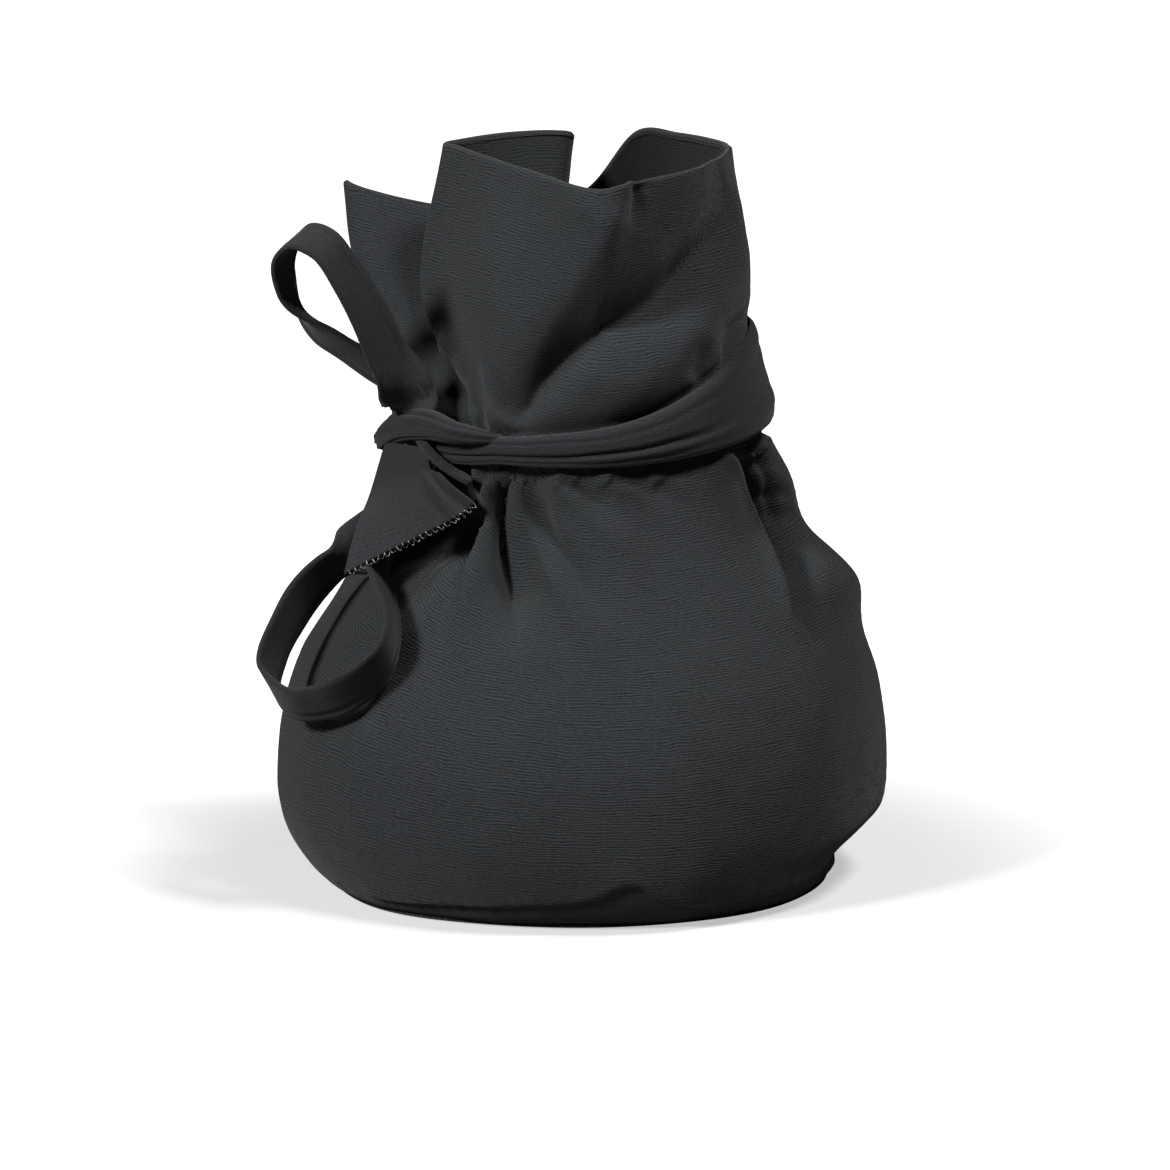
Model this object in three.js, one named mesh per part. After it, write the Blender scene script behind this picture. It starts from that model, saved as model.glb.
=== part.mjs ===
// A lined cloth pouch that stands open on its round base, gathered at the neck by a folded cloth tie.
// Millimetres, +Z up, the origin in the middle of the base on the ground, -Y the front.
// Azimuths are in degrees, 0 at the front and growing towards +X, the pouch's right as one faces it.
import * as THREE from "three";

// Cloth and the clearances between its layers
const CLOTH = 0.8; // one layer of cotton rep
const LAYER_GAP = 0.3; // between the outer cloth and the lining
const SEAM_GAP = 0.3; // between two panels that meet at a seam

// The bag's heights and radii, measured to the outer face of the cloth
const BASE_RADIUS = 65.6;
const BASE_INSET = 3.6; // the lining's base stays inside both thicknesses of the wall
const WALL_BOTTOM = CLOTH + SEAM_GAP; // the wall stands on the edge of the base panel
const BASE_FORWARD = 1.5; // the full bag leans back and to the right over its base
const BASE_LEFT = 0.6;
const BELLY_RADIUS = 80.3;
const BELLY_HEIGHT = 27; // where the sagging belly is widest
const NECK_RADIUS = 47;
const NECK_HEIGHT = 116; // where the tie's lower edge starts
const COLLAR_MIDDLE = 156;
const RIM_HEIGHT = 192;
const BELLY_SAG = 0.7; // how quickly the wall leaves the base, 1 is a plain sine
const SHOULDER_DROP = 1.2; // how far the shoulder's slope is drawn to the neck

// The tie: a strip folded double, wrapped round the neck and tied in a bow at the front left
const LOOP_WIDTH = 15;
const STRAP_THICKNESS = 2;
const BAND_THICKNESS = 2.4;
const BAND_HEIGHT = 10; // where it is rolled up, at the front
const BAND_SPREAD = 17; // how much higher it stands where it lies flat, at the right
const BAND_RISE = 3; // how far its lower edge climbs there
const BAND_BOTTOM = 118;
const SPREAD_AZIMUTH = 95;
const WAIST_LEAN = 3.3; // the neck narrows upwards under the flat part of the band
const TIE_GAP = 0.3; // between the tie and the cloth under it, and between its own pieces

// The knot hugs the neck between these azimuths
const KNOT_FROM = -81;
const KNOT_TO = -27;
const KNOT_HEIGHT = 9;
const KNOT_DEPTH = 8.6;
const KNOT_MIDDLE = 124.6;
const KNOT_DIP = 5; // how far its left end hangs
const KNOT_PULL = 2.5; // how far the knot draws the band's upper edge down
const PULL_REACH = 20; // and how many degrees to its right that is felt

// The raw end of the tie, opened out into a flap
const TAIL_THICKNESS = 1.6;

// The two side seams, as positions along the stations of the cloth below
const LEFT_SEAM = 5.1;
const RIGHT_SEAM = 18.5;

// Stations run once round the cloth from the back, by the left and the front, to the right.
// belly: azimuth of the cloth at the belly; gather: the same just under the tie.
// neck: azimuth, and how far the cloth is drawn in from the neck's radius.
// middle and rim: place in plan, drawn for a neck of DRAWN_NECK, and height from COLLAR_MIDDLE or RIM_HEIGHT.
const DRAWN_NECK = 47;
const STATIONS = [
  { belly: -190, gather: -182, neck: [-182, 0.5], middle: [0, 43, 0], rim: [-1, 38, -18] },
  { belly: -157, gather: -138, neck: [-138, 0.3], middle: [-34, 38, 0], rim: [-32, 42, -22.5] },
  // the outer turn of the pleat that stands out at the left
  { belly: -132, gather: -104, neck: [-103, 0.4], middle: [-56, 27, 3], rim: [-58.5, 32.5, -15.5] },
  { belly: -126, gather: -97, neck: [-96, 0.4], middle: [-60, 21, 3], rim: [-62.5, 28, -12.8] },
  { belly: -120, gather: -90, neck: [-89, 0.4], middle: [-56, 15, 3], rim: [-58, 23.5, -13.5] },
  { belly: -98, gather: -60, neck: [-57, 1.6], middle: [-36, 13, 0], rim: [-35, 26, -19] },
  { belly: -84, gather: -50, neck: [-40, 8], middle: [-22, 9, 0], rim: [-17, 29, -8] },
  // the hidden turn of the pleat, which reaches across the mouth
  { belly: -79, gather: -48, neck: [-27, 8.2], middle: [-14, 6, 0], rim: [-7.5, 31, -3] },
  { belly: -76, gather: -46, neck: [-23, 6.9], middle: [-9.5, 3, 0], rim: [-3.4, 28, 0] },
  { belly: -73, gather: -44, neck: [-27, 5.6], middle: [-13.5, 0, 0], rim: [-7, 25, 1] },
  { belly: -64, gather: -41.5, neck: [-31.5, 5.6], middle: [-27, 3.5, 0], rim: [-20, 19.5, 1.5] },
  // the turn at the left of the front lobe
  { belly: -54, gather: -39.5, neck: [-36, 5.4], middle: [-38, 9, 0], rim: [-32.5, 13.5, 1] },
  { belly: -50.5, gather: -37, neck: [-40, 2.8], middle: [-42, 4.5, 0], rim: [-36.5, 9, 1] },
  { belly: -47, gather: -34, neck: [-36, 0.2], middle: [-38.5, -2, 0], rim: [-33, 2.5, 1] },
  { belly: -18, gather: -16, neck: [-16, 0], middle: [-21, -36, 0], rim: [-14, -27, 0] },
  { belly: 16, gather: 4, neck: [4, 0], middle: [4, -50, 0], rim: [5, -50, -1] },
  { belly: 27, gather: 14, neck: [14, 0.2], middle: [14, -46, 0], rim: [15, -44.5, 0] },
  { belly: 55, gather: 45, neck: [45, 0.2], middle: [34, -27, 0], rim: [31.5, -27, 0.5] },
  { belly: 84, gather: 84, neck: [84, 0.3], middle: [44.3, 0, 0], rim: [39.5, 2, 1] },
  { belly: 93, gather: 94, neck: [94, 0.3], middle: [43.3, 10, 0], rim: [38, 9.5, 1] },
  { belly: 120, gather: 115, neck: [115, 0.3], middle: [32, 30, 0], rim: [26, 24.5, 1] },
  { belly: 148, gather: 138, neck: [138, 0.4], middle: [20, 40, 0], rim: [15.5, 29.5, 1] },
];

// Folds of the belly: azimuth, its lean in degrees for each millimetre down, height, the reach round and
// up, and how far the cloth comes out (or goes in, where negative)
const FOLDS = [
  { azimuth: 90, lean: 0, height: 105, round: 24, up: 13, out: 7.5 }, // full beside the side seam
  { azimuth: 85, lean: 0, height: 60, round: 32, up: 14, out: 2 },
  { azimuth: 88, lean: 0, height: 9.5, round: 28, up: 5.5, out: -8.5 }, // tucked under at the right
  { azimuth: 92, lean: 0, height: 80, round: 24, up: 11, out: 10 }, // side panel puffed out
  { azimuth: 68, lean: 0, height: 103, round: 9, up: 13, out: -4.5 }, // tucked in beside the side seam
  { azimuth: -15, lean: 0.1, height: 101, round: 8, up: 16, out: -4 }, // valley left of the middle
  { azimuth: -27, lean: -0.1, height: 97, round: 9, up: 18, out: 2.5 }, // ridge under the knot
  { azimuth: -3, lean: 0.5, height: 96, round: 9, up: 16, out: 2 }, // ridge that runs to the middle
  { azimuth: 140, lean: 0, height: 100, round: 9, up: 15, out: -3 }, // gathers at the back
  { azimuth: -150, lean: 0, height: 100, round: 9, up: 15, out: -3 },
];

// How finely the cloth is faceted
const COLUMN_STEP = 7.5; // degrees of belly between two columns
const BELLY_RINGS = 14;
const UNDER_TIE = 1.12; // a ring just below the tie, between the levels 1 and 2 of its edges
const COLLAR_RINGS = 4;
const BASE_SIDES = 40;
const BAND_STEPS = 34;
const TAIL_STEPS = 10;

const CHARCOAL = 0x33363a;
const CHARCOAL_INSIDE = 0x2b2d31;

const TURN = 360;
const DEGREE = Math.PI / 180;
const mix = (a, b, t) => a + (b - a) * t;

function smoothStep(from, to, x) {
  const t = Math.min(1, Math.max(0, (x - from) / (to - from)));
  return t * t * (3 - 2 * t);
}

// A point from azimuth, radius and height.
function polar(azimuth, radius, z) {
  return new THREE.Vector3(
    radius * Math.sin(azimuth * DEGREE),
    -radius * Math.cos(azimuth * DEGREE),
    z,
  );
}

// The angle to an azimuth from another, between half a turn back and half a turn on.
function away(azimuth, from) {
  return ((((azimuth - from) % TURN) + 1.5 * TURN) % TURN) - TURN / 2;
}

// 0 where the tie is rolled up, 1 where it lies flat.
function spread(azimuth) {
  const rolledUp = TURN / 4;
  const turned = Math.min(rolledUp, Math.abs(away(azimuth, SPREAD_AZIMUTH)) * 0.9);
  return Math.cos(turned * DEGREE) ** 2;
}

// How far the knot draws the band's upper edge down.
function pull(azimuth) {
  const aside = away(azimuth, KNOT_TO) / PULL_REACH;
  return KNOT_PULL * Math.exp(-aside * aside);
}

const bandLow = (azimuth) => BAND_BOTTOM + BAND_RISE * spread(azimuth);
const bandHigh = (azimuth) =>
  bandLow(azimuth) + BAND_HEIGHT + BAND_SPREAD * spread(azimuth) - pull(azimuth);

// The neck's radius under the tie, which leans in where the band is spread.
function waistRadius(azimuth, z) {
  const up = (z - NECK_HEIGHT) / (bandHigh(azimuth) - NECK_HEIGHT);
  return NECK_RADIUS - WAIST_LEAN * spread(azimuth) * up;
}

// The bag's plain radius below the neck: a sagging belly and a shoulder that curves in to the neck.
function bagRadius(z) {
  if (z < BELLY_HEIGHT) {
    const up = Math.max(0, (z - WALL_BOTTOM) / (BELLY_HEIGHT - WALL_BOTTOM)) ** BELLY_SAG;
    return mix(BASE_RADIUS, BELLY_RADIUS, Math.sin((up * Math.PI) / 2));
  }
  const up = Math.min(1, (z - BELLY_HEIGHT) / (NECK_HEIGHT - BELLY_HEIGHT));
  const part = (1 + Math.cos(Math.PI * up ** SHOULDER_DROP)) / 2;
  return mix(NECK_RADIUS, BELLY_RADIUS, part);
}

function foldsAt(azimuth, z) {
  let out = 0;
  for (const fold of FOLDS) {
    const middle = fold.azimuth + fold.lean * (fold.height - z);
    const round = away(azimuth, middle) / fold.round;
    const up = (z - fold.height) / fold.up;
    out += fold.out * Math.exp(-round * round - up * up);
  }
  return out;
}

// Where a station lies at one level of the bag: 0 to 1 the belly, 1 to 2 the neck, 2 to 3 the collar.
function stationPoint(station, level) {
  const [azimuth, drawnIn] = station.neck;
  if (level <= 1) {
    const z = mix(WALL_BOTTOM, NECK_HEIGHT, level);
    const low = 1 - smoothStep(0, BELLY_HEIGHT, z);
    const gathered = mix(
      station.belly,
      station.gather,
      smoothStep(0.4 * NECK_HEIGHT, NECK_HEIGHT - 12, z),
    );
    const turned = mix(gathered, azimuth, smoothStep(NECK_HEIGHT - 13, NECK_HEIGHT, z));
    const inset = drawnIn * smoothStep(NECK_HEIGHT - 28, NECK_HEIGHT - 12, z);
    const point = polar(turned, bagRadius(z) - inset, z);
    point.x -= BASE_LEFT * low;
    point.y -= BASE_FORWARD * low;
    return point;
  }
  const top = bandHigh(azimuth) + 1;
  if (level <= 2) {
    const z = mix(NECK_HEIGHT, top, level - 1);
    return polar(azimuth, waistRadius(azimuth, Math.min(z, top - 1)) - drawnIn, z);
  }
  const drawn = NECK_RADIUS / DRAWN_NECK;
  const [mx, my, mz] = station.middle;
  const [rx, ry, rz] = station.rim;
  const column = new THREE.CatmullRomCurve3([
    polar(azimuth, NECK_RADIUS - drawnIn, NECK_HEIGHT),
    polar(azimuth, waistRadius(azimuth, top - 1) - drawnIn, top),
    new THREE.Vector3(mx * drawn, my * drawn, COLLAR_MIDDLE + mz),
    new THREE.Vector3(rx * drawn, ry * drawn, RIM_HEIGHT + rz),
  ]);
  return column.getPoint((1 + 2 * (level - 2)) / 3);
}

// The outer face of the cloth: place counts stations, level as above.
function clothPoint(place, level) {
  const ring = new THREE.CatmullRomCurve3(
    STATIONS.map((station) => stationPoint(station, level)),
    true,
  );
  const count = STATIONS.length;
  const point = ring.getPoint((((place % count) + count) % count) / count);
  if (level <= 1) {
    const azimuth = Math.atan2(point.x, -point.y) / DEGREE;
    const radius = Math.hypot(point.x, point.y);
    const moved = (radius + foldsAt(azimuth, point.z)) / radius;
    point.x *= moved;
    point.y *= moved;
  }
  return point;
}

// One closed body from rows of points: each row is a loop, and the first and last rows are closed by caps.
function loft(rows) {
  const count = rows[0].length;
  const positions = [];
  const faces = [];
  for (const row of rows) for (const p of row) positions.push(p.x, p.y, p.z);
  for (let j = 0; j + 1 < rows.length; j++) {
    for (let i = 0; i < count; i++) {
      const a = j * count + i;
      const b = j * count + ((i + 1) % count);
      // both faces of a thin sheet are cut along the same diagonals, so that they stay apart
      if (2 * i < count) faces.push(a, b, b + count, a, b + count, a + count);
      else faces.push(a, b, a + count, b, b + count, a + count);
    }
  }
  const last = (rows.length - 1) * count;
  for (let i = 0; 2 * i + 3 < count + (count % 2); i++) {
    // caps are strips across the loop, so a flat section stays flat
    const a = i;
    const b = i + 1;
    const c = count - 1 - i;
    const d = count - 2 - i;
    faces.push(a, c, b, last + a, last + b, last + c);
    if (d > b) faces.push(b, c, d, last + b, last + d, last + c);
  }
  const geometry = new THREE.BufferGeometry();
  geometry.setAttribute("position", new THREE.Float32BufferAttribute(positions, 3));
  geometry.setIndex(insideOut(positions, faces) ? faces.reverse() : faces);
  geometry.computeVertexNormals();
  return geometry;
}

// Whether the faces of a closed body point inwards, by the sign of the volume they hold.
function insideOut(positions, faces) {
  const corner = (i) => new THREE.Vector3().fromArray(positions, 3 * faces[i]);
  let volume = 0;
  for (let i = 0; i < faces.length; i += 3) {
    volume += corner(i).dot(corner(i + 1).cross(corner(i + 2)));
  }
  return volume < 0;
}

// The levels of the cloth's rings, from the base seam to the rim.
function clothLevels() {
  const levels = [];
  for (let i = 0; i < BELLY_RINGS; i++) levels.push(i / BELLY_RINGS);
  levels.push(1, UNDER_TIE, 2);
  for (let i = 1; i <= COLLAR_RINGS; i++) levels.push(2 + i / COLLAR_RINGS);
  return levels;
}

// The places of the cloth's columns from one seam up to the next, closer where the cloth turns.
function columnPlaces(from, to) {
  const places = [from];
  for (let i = Math.ceil(from); i < to; i++) {
    const count = STATIONS.length;
    const here = STATIONS[i % count].belly;
    const next = STATIONS[(i + 1) % count].belly;
    const steps = Math.max(1, Math.round(((next - here + TURN) % TURN) / COLUMN_STEP));
    for (let s = 0; s < steps; s++) {
      const place = i + s / steps;
      if (place > from + 0.15 && place < to - 0.15) places.push(place);
    }
  }
  return places;
}

// The whole cloth as a net of columns, each a list of points with the direction out of the cloth there.
function clothNet(places) {
  const levels = clothLevels();
  const columns = places.map((place) => levels.map((level) => clothPoint(place, level)));
  const geometry = new THREE.BufferGeometry().setFromPoints(columns.flat());
  const faces = [];
  for (let i = 0; i < places.length; i++) {
    for (let j = 0; j + 1 < levels.length; j++) {
      const a = i * levels.length + j;
      const b = ((i + 1) % places.length) * levels.length + j;
      faces.push(a, b, b + 1, a, b + 1, a + 1);
    }
  }
  geometry.setIndex(faces);
  geometry.computeVertexNormals();
  const normals = geometry.getAttribute("normal");
  return columns.map((column, i) =>
    column.map((point, j) => ({
      point,
      out: new THREE.Vector3().fromBufferAttribute(normals, i * levels.length + j),
    })),
  );
}

// A seam's column moved half the seam's gap towards its neighbour in the same panel.
function trimmed(seam, neighbour) {
  return seam.map(({ point, out }, j) => {
    const aside = neighbour[j].point.clone().sub(point).normalize();
    return { point: point.clone().addScaledVector(aside, SEAM_GAP / 2), out };
  });
}

// A panel of cloth between two seams of the net, its outer face a given depth under the bag's.
function panel(net, depth) {
  const columns = [...net];
  const last = columns.length - 1;
  columns[0] = trimmed(net[0], net[1]);
  columns[last] = trimmed(net[last], net[last - 1]);
  const face = (column, under) =>
    column.map(({ point, out }) => point.clone().addScaledVector(out, -under));
  return loft(
    columns.map((column) => [
      ...face(column, depth),
      ...face(column, depth + CLOTH).reverse(),
    ]),
  );
}

// A round panel of the base.
function disc(radius, bottom) {
  const profile = [
    new THREE.Vector2(0, bottom),
    new THREE.Vector2(radius - CLOTH / 2, bottom),
    new THREE.Vector2(radius, bottom + CLOTH / 2),
    new THREE.Vector2(radius - CLOTH / 2, bottom + CLOTH),
    new THREE.Vector2(0, bottom + CLOTH),
  ];
  const geometry = new THREE.LatheGeometry(profile, BASE_SIDES);
  geometry.rotateX(Math.PI / 2);
  geometry.translate(-BASE_LEFT, -BASE_FORWARD, 0);
  return geometry;
}

// The tie round the neck, from one side of the knot to the other, with a crease along it.
function neckBand() {
  const rows = [];
  const from = KNOT_TO + TIE_GAP;
  const to = KNOT_FROM + TURN - TIE_GAP;
  for (let i = 0; i <= BAND_STEPS; i++) {
    const azimuth = mix(from, to, i / BAND_STEPS);
    const low = bandLow(azimuth);
    const high = bandHigh(azimuth);
    const inside = (z) => waistRadius(azimuth, z) + TIE_GAP;
    const section = [
      [0.06, 1],
      [0.3, 0.95],
      [0.42, 0.62],
      [0.56, 0.95],
      [0.94, 0.8],
      [1, 0],
      [0.5, 0],
      [0, 0],
    ];
    rows.push(
      section.map(([up, out]) => {
        const z = mix(low, high, up);
        return polar(azimuth, inside(z) + out * BAND_THICKNESS, z);
      }),
    );
  }
  return loft(rows);
}

// The knot: the strap wound over itself, thick in the middle and drawn in at its ends.
function bowKnot() {
  const steps = 12;
  const sides = 10;
  const middle = NECK_RADIUS + TIE_GAP + KNOT_DEPTH / 2 + 0.4;
  const rows = [];
  for (let i = 0; i <= steps; i++) {
    const along = i / steps;
    const azimuth = mix(KNOT_FROM, KNOT_TO, along);
    const full = Math.sin(Math.PI * mix(0.09, 0.91, along)) ** 0.45;
    const turns = 1 - 0.1 * Math.cos(6 * Math.PI * along);
    const row = [];
    for (let k = 0; k < sides; k++) {
      const turn = (2 * Math.PI * k) / sides;
      const round = (x) => Math.sign(x) * Math.abs(x) ** 0.75;
      const out = (round(Math.cos(turn)) * KNOT_DEPTH * full * turns) / 2;
      const up = (round(Math.sin(turn)) * KNOT_HEIGHT * full) / 2;
      const z = KNOT_MIDDLE + up - KNOT_DIP * (1 - along) ** 2;
      row.push(polar(azimuth, middle + Math.max(out, -KNOT_DEPTH / 2), z));
    }
    rows.push(row);
  }
  return loft(rows);
}

// A strap along a curve: across gives the direction of its width at a share of the way.
function strap(points, steps, thickness, across, width) {
  const curve = new THREE.CatmullRomCurve3(points);
  const rows = [];
  for (let i = 0; i <= steps; i++) {
    const share = i / steps;
    const middle = curve.getPoint(share);
    const along = curve.getTangent(share);
    const side = across(share).clone();
    side.addScaledVector(along, -side.dot(along)).normalize();
    const face = side.clone().cross(along).normalize();
    const half = width / 2;
    const soft = thickness * 0.7;
    const corner = (a, b) =>
      middle.clone().addScaledVector(side, a).addScaledVector(face, b);
    rows.push([
      corner(half, 0),
      corner(half - soft, thickness / 2),
      corner(-half + soft, thickness / 2),
      corner(-half, 0),
      corner(-half + soft, -thickness / 2),
      corner(half - soft, -thickness / 2),
    ]);
  }
  return loft(rows);
}

// Places on the bow are given from the middle of the knot: out from the neck, aside along it to the
// right, and up.
const KNOT_AZIMUTH = (KNOT_FROM + KNOT_TO) / 2;
const OUT = polar(KNOT_AZIMUTH, 1, 0);
const ASIDE = polar(KNOT_AZIMUTH + 90, 1, 0);
function fromKnot(out, aside, up) {
  const knot = NECK_RADIUS + TIE_GAP + KNOT_DEPTH / 2;
  const point = OUT.clone().multiplyScalar(knot + out);
  return point.addScaledVector(ASIDE, aside).setZ(KNOT_MIDDLE + up);
}

// The three ends that leave the knot lie on each other, this far apart.
const PLY = STRAP_THICKNESS + TIE_GAP + 0.4;

// The direction of a strap's width at a share of its length, between a list of [share, direction].
function turning(share, directions) {
  let i = 0;
  while (i + 2 < directions.length && share > directions[i + 1][0]) i++;
  const [from, first] = directions[i];
  const [to, second] = directions[i + 1];
  return first.clone().lerp(second, smoothStep(from, to, share));
}

// The upper loop stands up to the left. It leaves the knot flat on the neck and turns half round.
function upperLoop() {
  const top = KNOT_HEIGHT / 2 + TIE_GAP;
  const points = [
    fromKnot(PLY / 2, -1.6, top),
    fromKnot(2.4, -1.3, top + 3),
    fromKnot(5.4, -0.5, 13),
    fromKnot(10.4, -0.2, 21.2),
    fromKnot(15.8, -0.2, 31.8),
    fromKnot(21.4, -1.8, 42),
    fromKnot(26.3, -5.2, 51.2),
    fromKnot(29.6, -9.5, 53.8),
    fromKnot(30.6, -13.4, 49.6),
    fromKnot(29.6, -15.4, 41.9),
    fromKnot(25.4, -15.4, 33.2),
    fromKnot(19.4, -13.2, 25.2),
    fromKnot(13.7, -10.8, 20.1),
    fromKnot(8.2, -8.4, 15.9),
    fromKnot(2.2, -5.4, 11),
    fromKnot(-PLY / 2, -4, top + 1.5),
    fromKnot(-PLY / 2, -3.6, top),
  ];
  const toFront = new THREE.Vector3(-0.36, -0.91, 0.2);
  const onEdge = new THREE.Vector3(-0.57, -0.79, 0.21);
  const directions = [
    [0.03, ASIDE],
    [0.13, toFront],
    [0.4, toFront],
    [0.55, onEdge],
    [0.8, onEdge],
    [0.95, ASIDE],
  ];
  return strap(points, 36, STRAP_THICKNESS, (share) => turning(share, directions), LOOP_WIDTH);
}

// The lower loop hangs over the belly: azimuth, how far its middle lies clear of the belly, height.
function lowerLoop() {
  const bottom = -KNOT_HEIGHT / 2 - KNOT_DIP / 2 - TIE_GAP;
  const onBelly = (azimuth, clear, z) => polar(azimuth, bagRadius(z) + clear, z);
  const points = [
    fromKnot(0, -1.5, bottom),
    fromKnot(0.2, -1.5, bottom - 3),
    fromKnot(3.5, -6.5, bottom - 13),
    onBelly(-64.6, 10.7, 91.8),
    onBelly(-66.9, 14.2, 87.5),
    onBelly(-68.1, 16.4, 80.8),
    onBelly(-67.9, 17.2, 74.3),
    onBelly(-66.7, 16.2, 67.6),
    onBelly(-64.9, 14.8, 62.2),
    onBelly(-62, 12.9, 58),
    onBelly(-58.4, 11, 55.6),
    onBelly(-54, 9.6, 56.2),
    onBelly(-48.6, 9.2, 59.5),
    onBelly(-43.6, 9.2, 65),
    onBelly(-41.2, 9.2, 70.9),
    onBelly(-41.8, 9.2, 75.9),
    onBelly(-44.8, 9.2, 80.6),
    onBelly(-49.5, 9.1, 85.1),
    onBelly(-55.5, 7.4, 90),
    fromKnot(-0.8, -3.4, bottom - 15),
    fromKnot(-PLY, -1.7, bottom - 3),
    fromKnot(-PLY, -1.5, bottom),
  ];
  const onEdge = new THREE.Vector3(-0.45, -0.85, -0.28);
  const toFront = new THREE.Vector3(-0.06, -0.97, -0.24);
  const directions = [
    [0.24, ASIDE],
    [0.33, onEdge],
    [0.43, toFront],
    [0.86, toFront],
    [0.97, ASIDE],
  ];
  return strap(points, 44, STRAP_THICKNESS, (share) => turning(share, directions), LOOP_WIDTH);
}

// The free end of the tie, which opens out to the strip's full width over the lower loop.
function tieTail() {
  const bottom = -KNOT_HEIGHT / 2 - KNOT_DIP / 2 - TIE_GAP;
  const leftEdge = new THREE.CatmullRomCurve3([
    fromKnot(PLY, -13.5, bottom),
    fromKnot(PLY + 1.2, -13.2, bottom - 2.5),
    fromKnot(10, -9.6, -18.2),
    fromKnot(16, -6.4, -24.4),
    fromKnot(24.1, -0.7, -35.2),
  ]);
  const rightEdge = new THREE.CatmullRomCurve3([
    fromKnot(PLY, 6.5, bottom),
    fromKnot(PLY + 0.3, 8, bottom - 1),
    fromKnot(3.4, 12.6, -9),
    fromKnot(2.2, 16.4, -11.6),
    fromKnot(-1.3, 21.3, -15.4),
  ]);
  const rows = [];
  for (let i = 0; i <= TAIL_STEPS; i++) {
    const share = i / TAIL_STEPS;
    const left = leftEdge.getPoint(share);
    const right = rightEdge.getPoint(share);
    const width = right.clone().sub(left).normalize();
    const down = leftEdge.getTangent(share).add(rightEdge.getTangent(share));
    const face = width.clone().cross(down).normalize();
    const soft = TAIL_THICKNESS * 0.7;
    rows.push([
      left,
      left.clone().addScaledVector(width, soft).addScaledVector(face, TAIL_THICKNESS / 2),
      right.clone().addScaledVector(width, -soft).addScaledVector(face, TAIL_THICKNESS / 2),
      right,
      right.clone().addScaledVector(width, -soft).addScaledVector(face, -TAIL_THICKNESS / 2),
      left.clone().addScaledVector(width, soft).addScaledVector(face, -TAIL_THICKNESS / 2),
    ]);
  }
  return loft(rows);
}

const pouch = new THREE.Group();

function add(name, geometry, color, roughness) {
  const material = new THREE.MeshStandardMaterial({ color, roughness, metalness: 0 });
  const mesh = new THREE.Mesh(geometry, material);
  mesh.name = name;
  pouch.add(mesh);
}

const frontPlaces = columnPlaces(LEFT_SEAM, RIGHT_SEAM);
const backPlaces = columnPlaces(RIGHT_SEAM, LEFT_SEAM + STATIONS.length);
const cloth = clothNet([...frontPlaces, ...backPlaces]);
const front = cloth.slice(0, frontPlaces.length + 1);
const back = [...cloth.slice(frontPlaces.length), cloth[0]];
const liningDepth = CLOTH + LAYER_GAP;
add("outer_front_panel", panel(front, 0), CHARCOAL, 0.9);
add("outer_back_panel", panel(back, 0), CHARCOAL, 0.9);
add("outer_base_panel", disc(BASE_RADIUS, 0), CHARCOAL, 0.9);
add("lining_front_panel", panel(front, liningDepth), CHARCOAL_INSIDE, 0.92);
add("lining_back_panel", panel(back, liningDepth), CHARCOAL_INSIDE, 0.92);
add("lining_base_panel", disc(BASE_RADIUS - BASE_INSET, liningDepth), CHARCOAL_INSIDE, 0.92);
add("neck_band", neckBand(), CHARCOAL, 0.88);
add("bow_knot", bowKnot(), CHARCOAL, 0.88);
add("bow_upper_loop", upperLoop(), CHARCOAL, 0.88);
add("bow_lower_loop", lowerLoop(), CHARCOAL, 0.88);
add("tie_tail", tieTail(), CHARCOAL, 0.88);

export default pouch;
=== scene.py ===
import math

import bpy
import numpy as np
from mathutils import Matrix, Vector, noise


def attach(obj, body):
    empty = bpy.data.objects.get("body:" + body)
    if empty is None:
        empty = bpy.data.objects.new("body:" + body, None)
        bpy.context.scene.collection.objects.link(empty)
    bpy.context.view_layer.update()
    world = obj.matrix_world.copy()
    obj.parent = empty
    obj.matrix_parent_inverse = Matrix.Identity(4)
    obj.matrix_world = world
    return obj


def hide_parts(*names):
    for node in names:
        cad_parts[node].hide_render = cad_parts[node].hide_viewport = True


# A lined cotton pouch, gathered at the neck by a folded cloth tie. Shapes are worked out in millimetres.
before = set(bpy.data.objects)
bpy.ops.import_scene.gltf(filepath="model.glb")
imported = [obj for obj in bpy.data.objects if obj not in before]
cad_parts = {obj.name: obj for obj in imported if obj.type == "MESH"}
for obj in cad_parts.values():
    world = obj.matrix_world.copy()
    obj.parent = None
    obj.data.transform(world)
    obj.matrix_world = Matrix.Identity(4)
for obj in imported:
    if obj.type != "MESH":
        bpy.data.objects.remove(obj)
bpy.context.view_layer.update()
MM = 0.001

# Cloth and the bag's plain sizes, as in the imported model
CLOTH = 0.8
LINING_DEPTH = 1.1
WALL_BOTTOM = 1.1
BASE_RADIUS = 65.6
BASE_INSET = 3.6
BASE_FORWARD = 1.5
BASE_LEFT = 0.6
BELLY_RADIUS = 80.3
BELLY_HEIGHT = 27
NECK_RADIUS = 47
NECK_HEIGHT = 116
COLLAR_MIDDLE = 156
RIM_HEIGHT = 192

# The tie
LOOP_WIDTH = 15
STRAP_THICKNESS = 2
BAND_THICKNESS = 2.4
BAND_HEIGHT = 10
BAND_SPREAD = 17
BAND_RISE = 3
BAND_BOTTOM = 118
SPREAD_AZIMUTH = 95
WAIST_LEAN = 3.3
TIE_GAP = 0.3
KNOT_FROM = -81
KNOT_TO = -27
KNOT_HEIGHT = 9
KNOT_DEPTH = 8.6
KNOT_MIDDLE = 124.6
KNOT_DIP = 5
KNOT_PULL = 2.5
PULL_REACH = 20

# Seams, as places among the stations
LEFT_SEAM = 5.1
RIGHT_SEAM = 18.5

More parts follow.
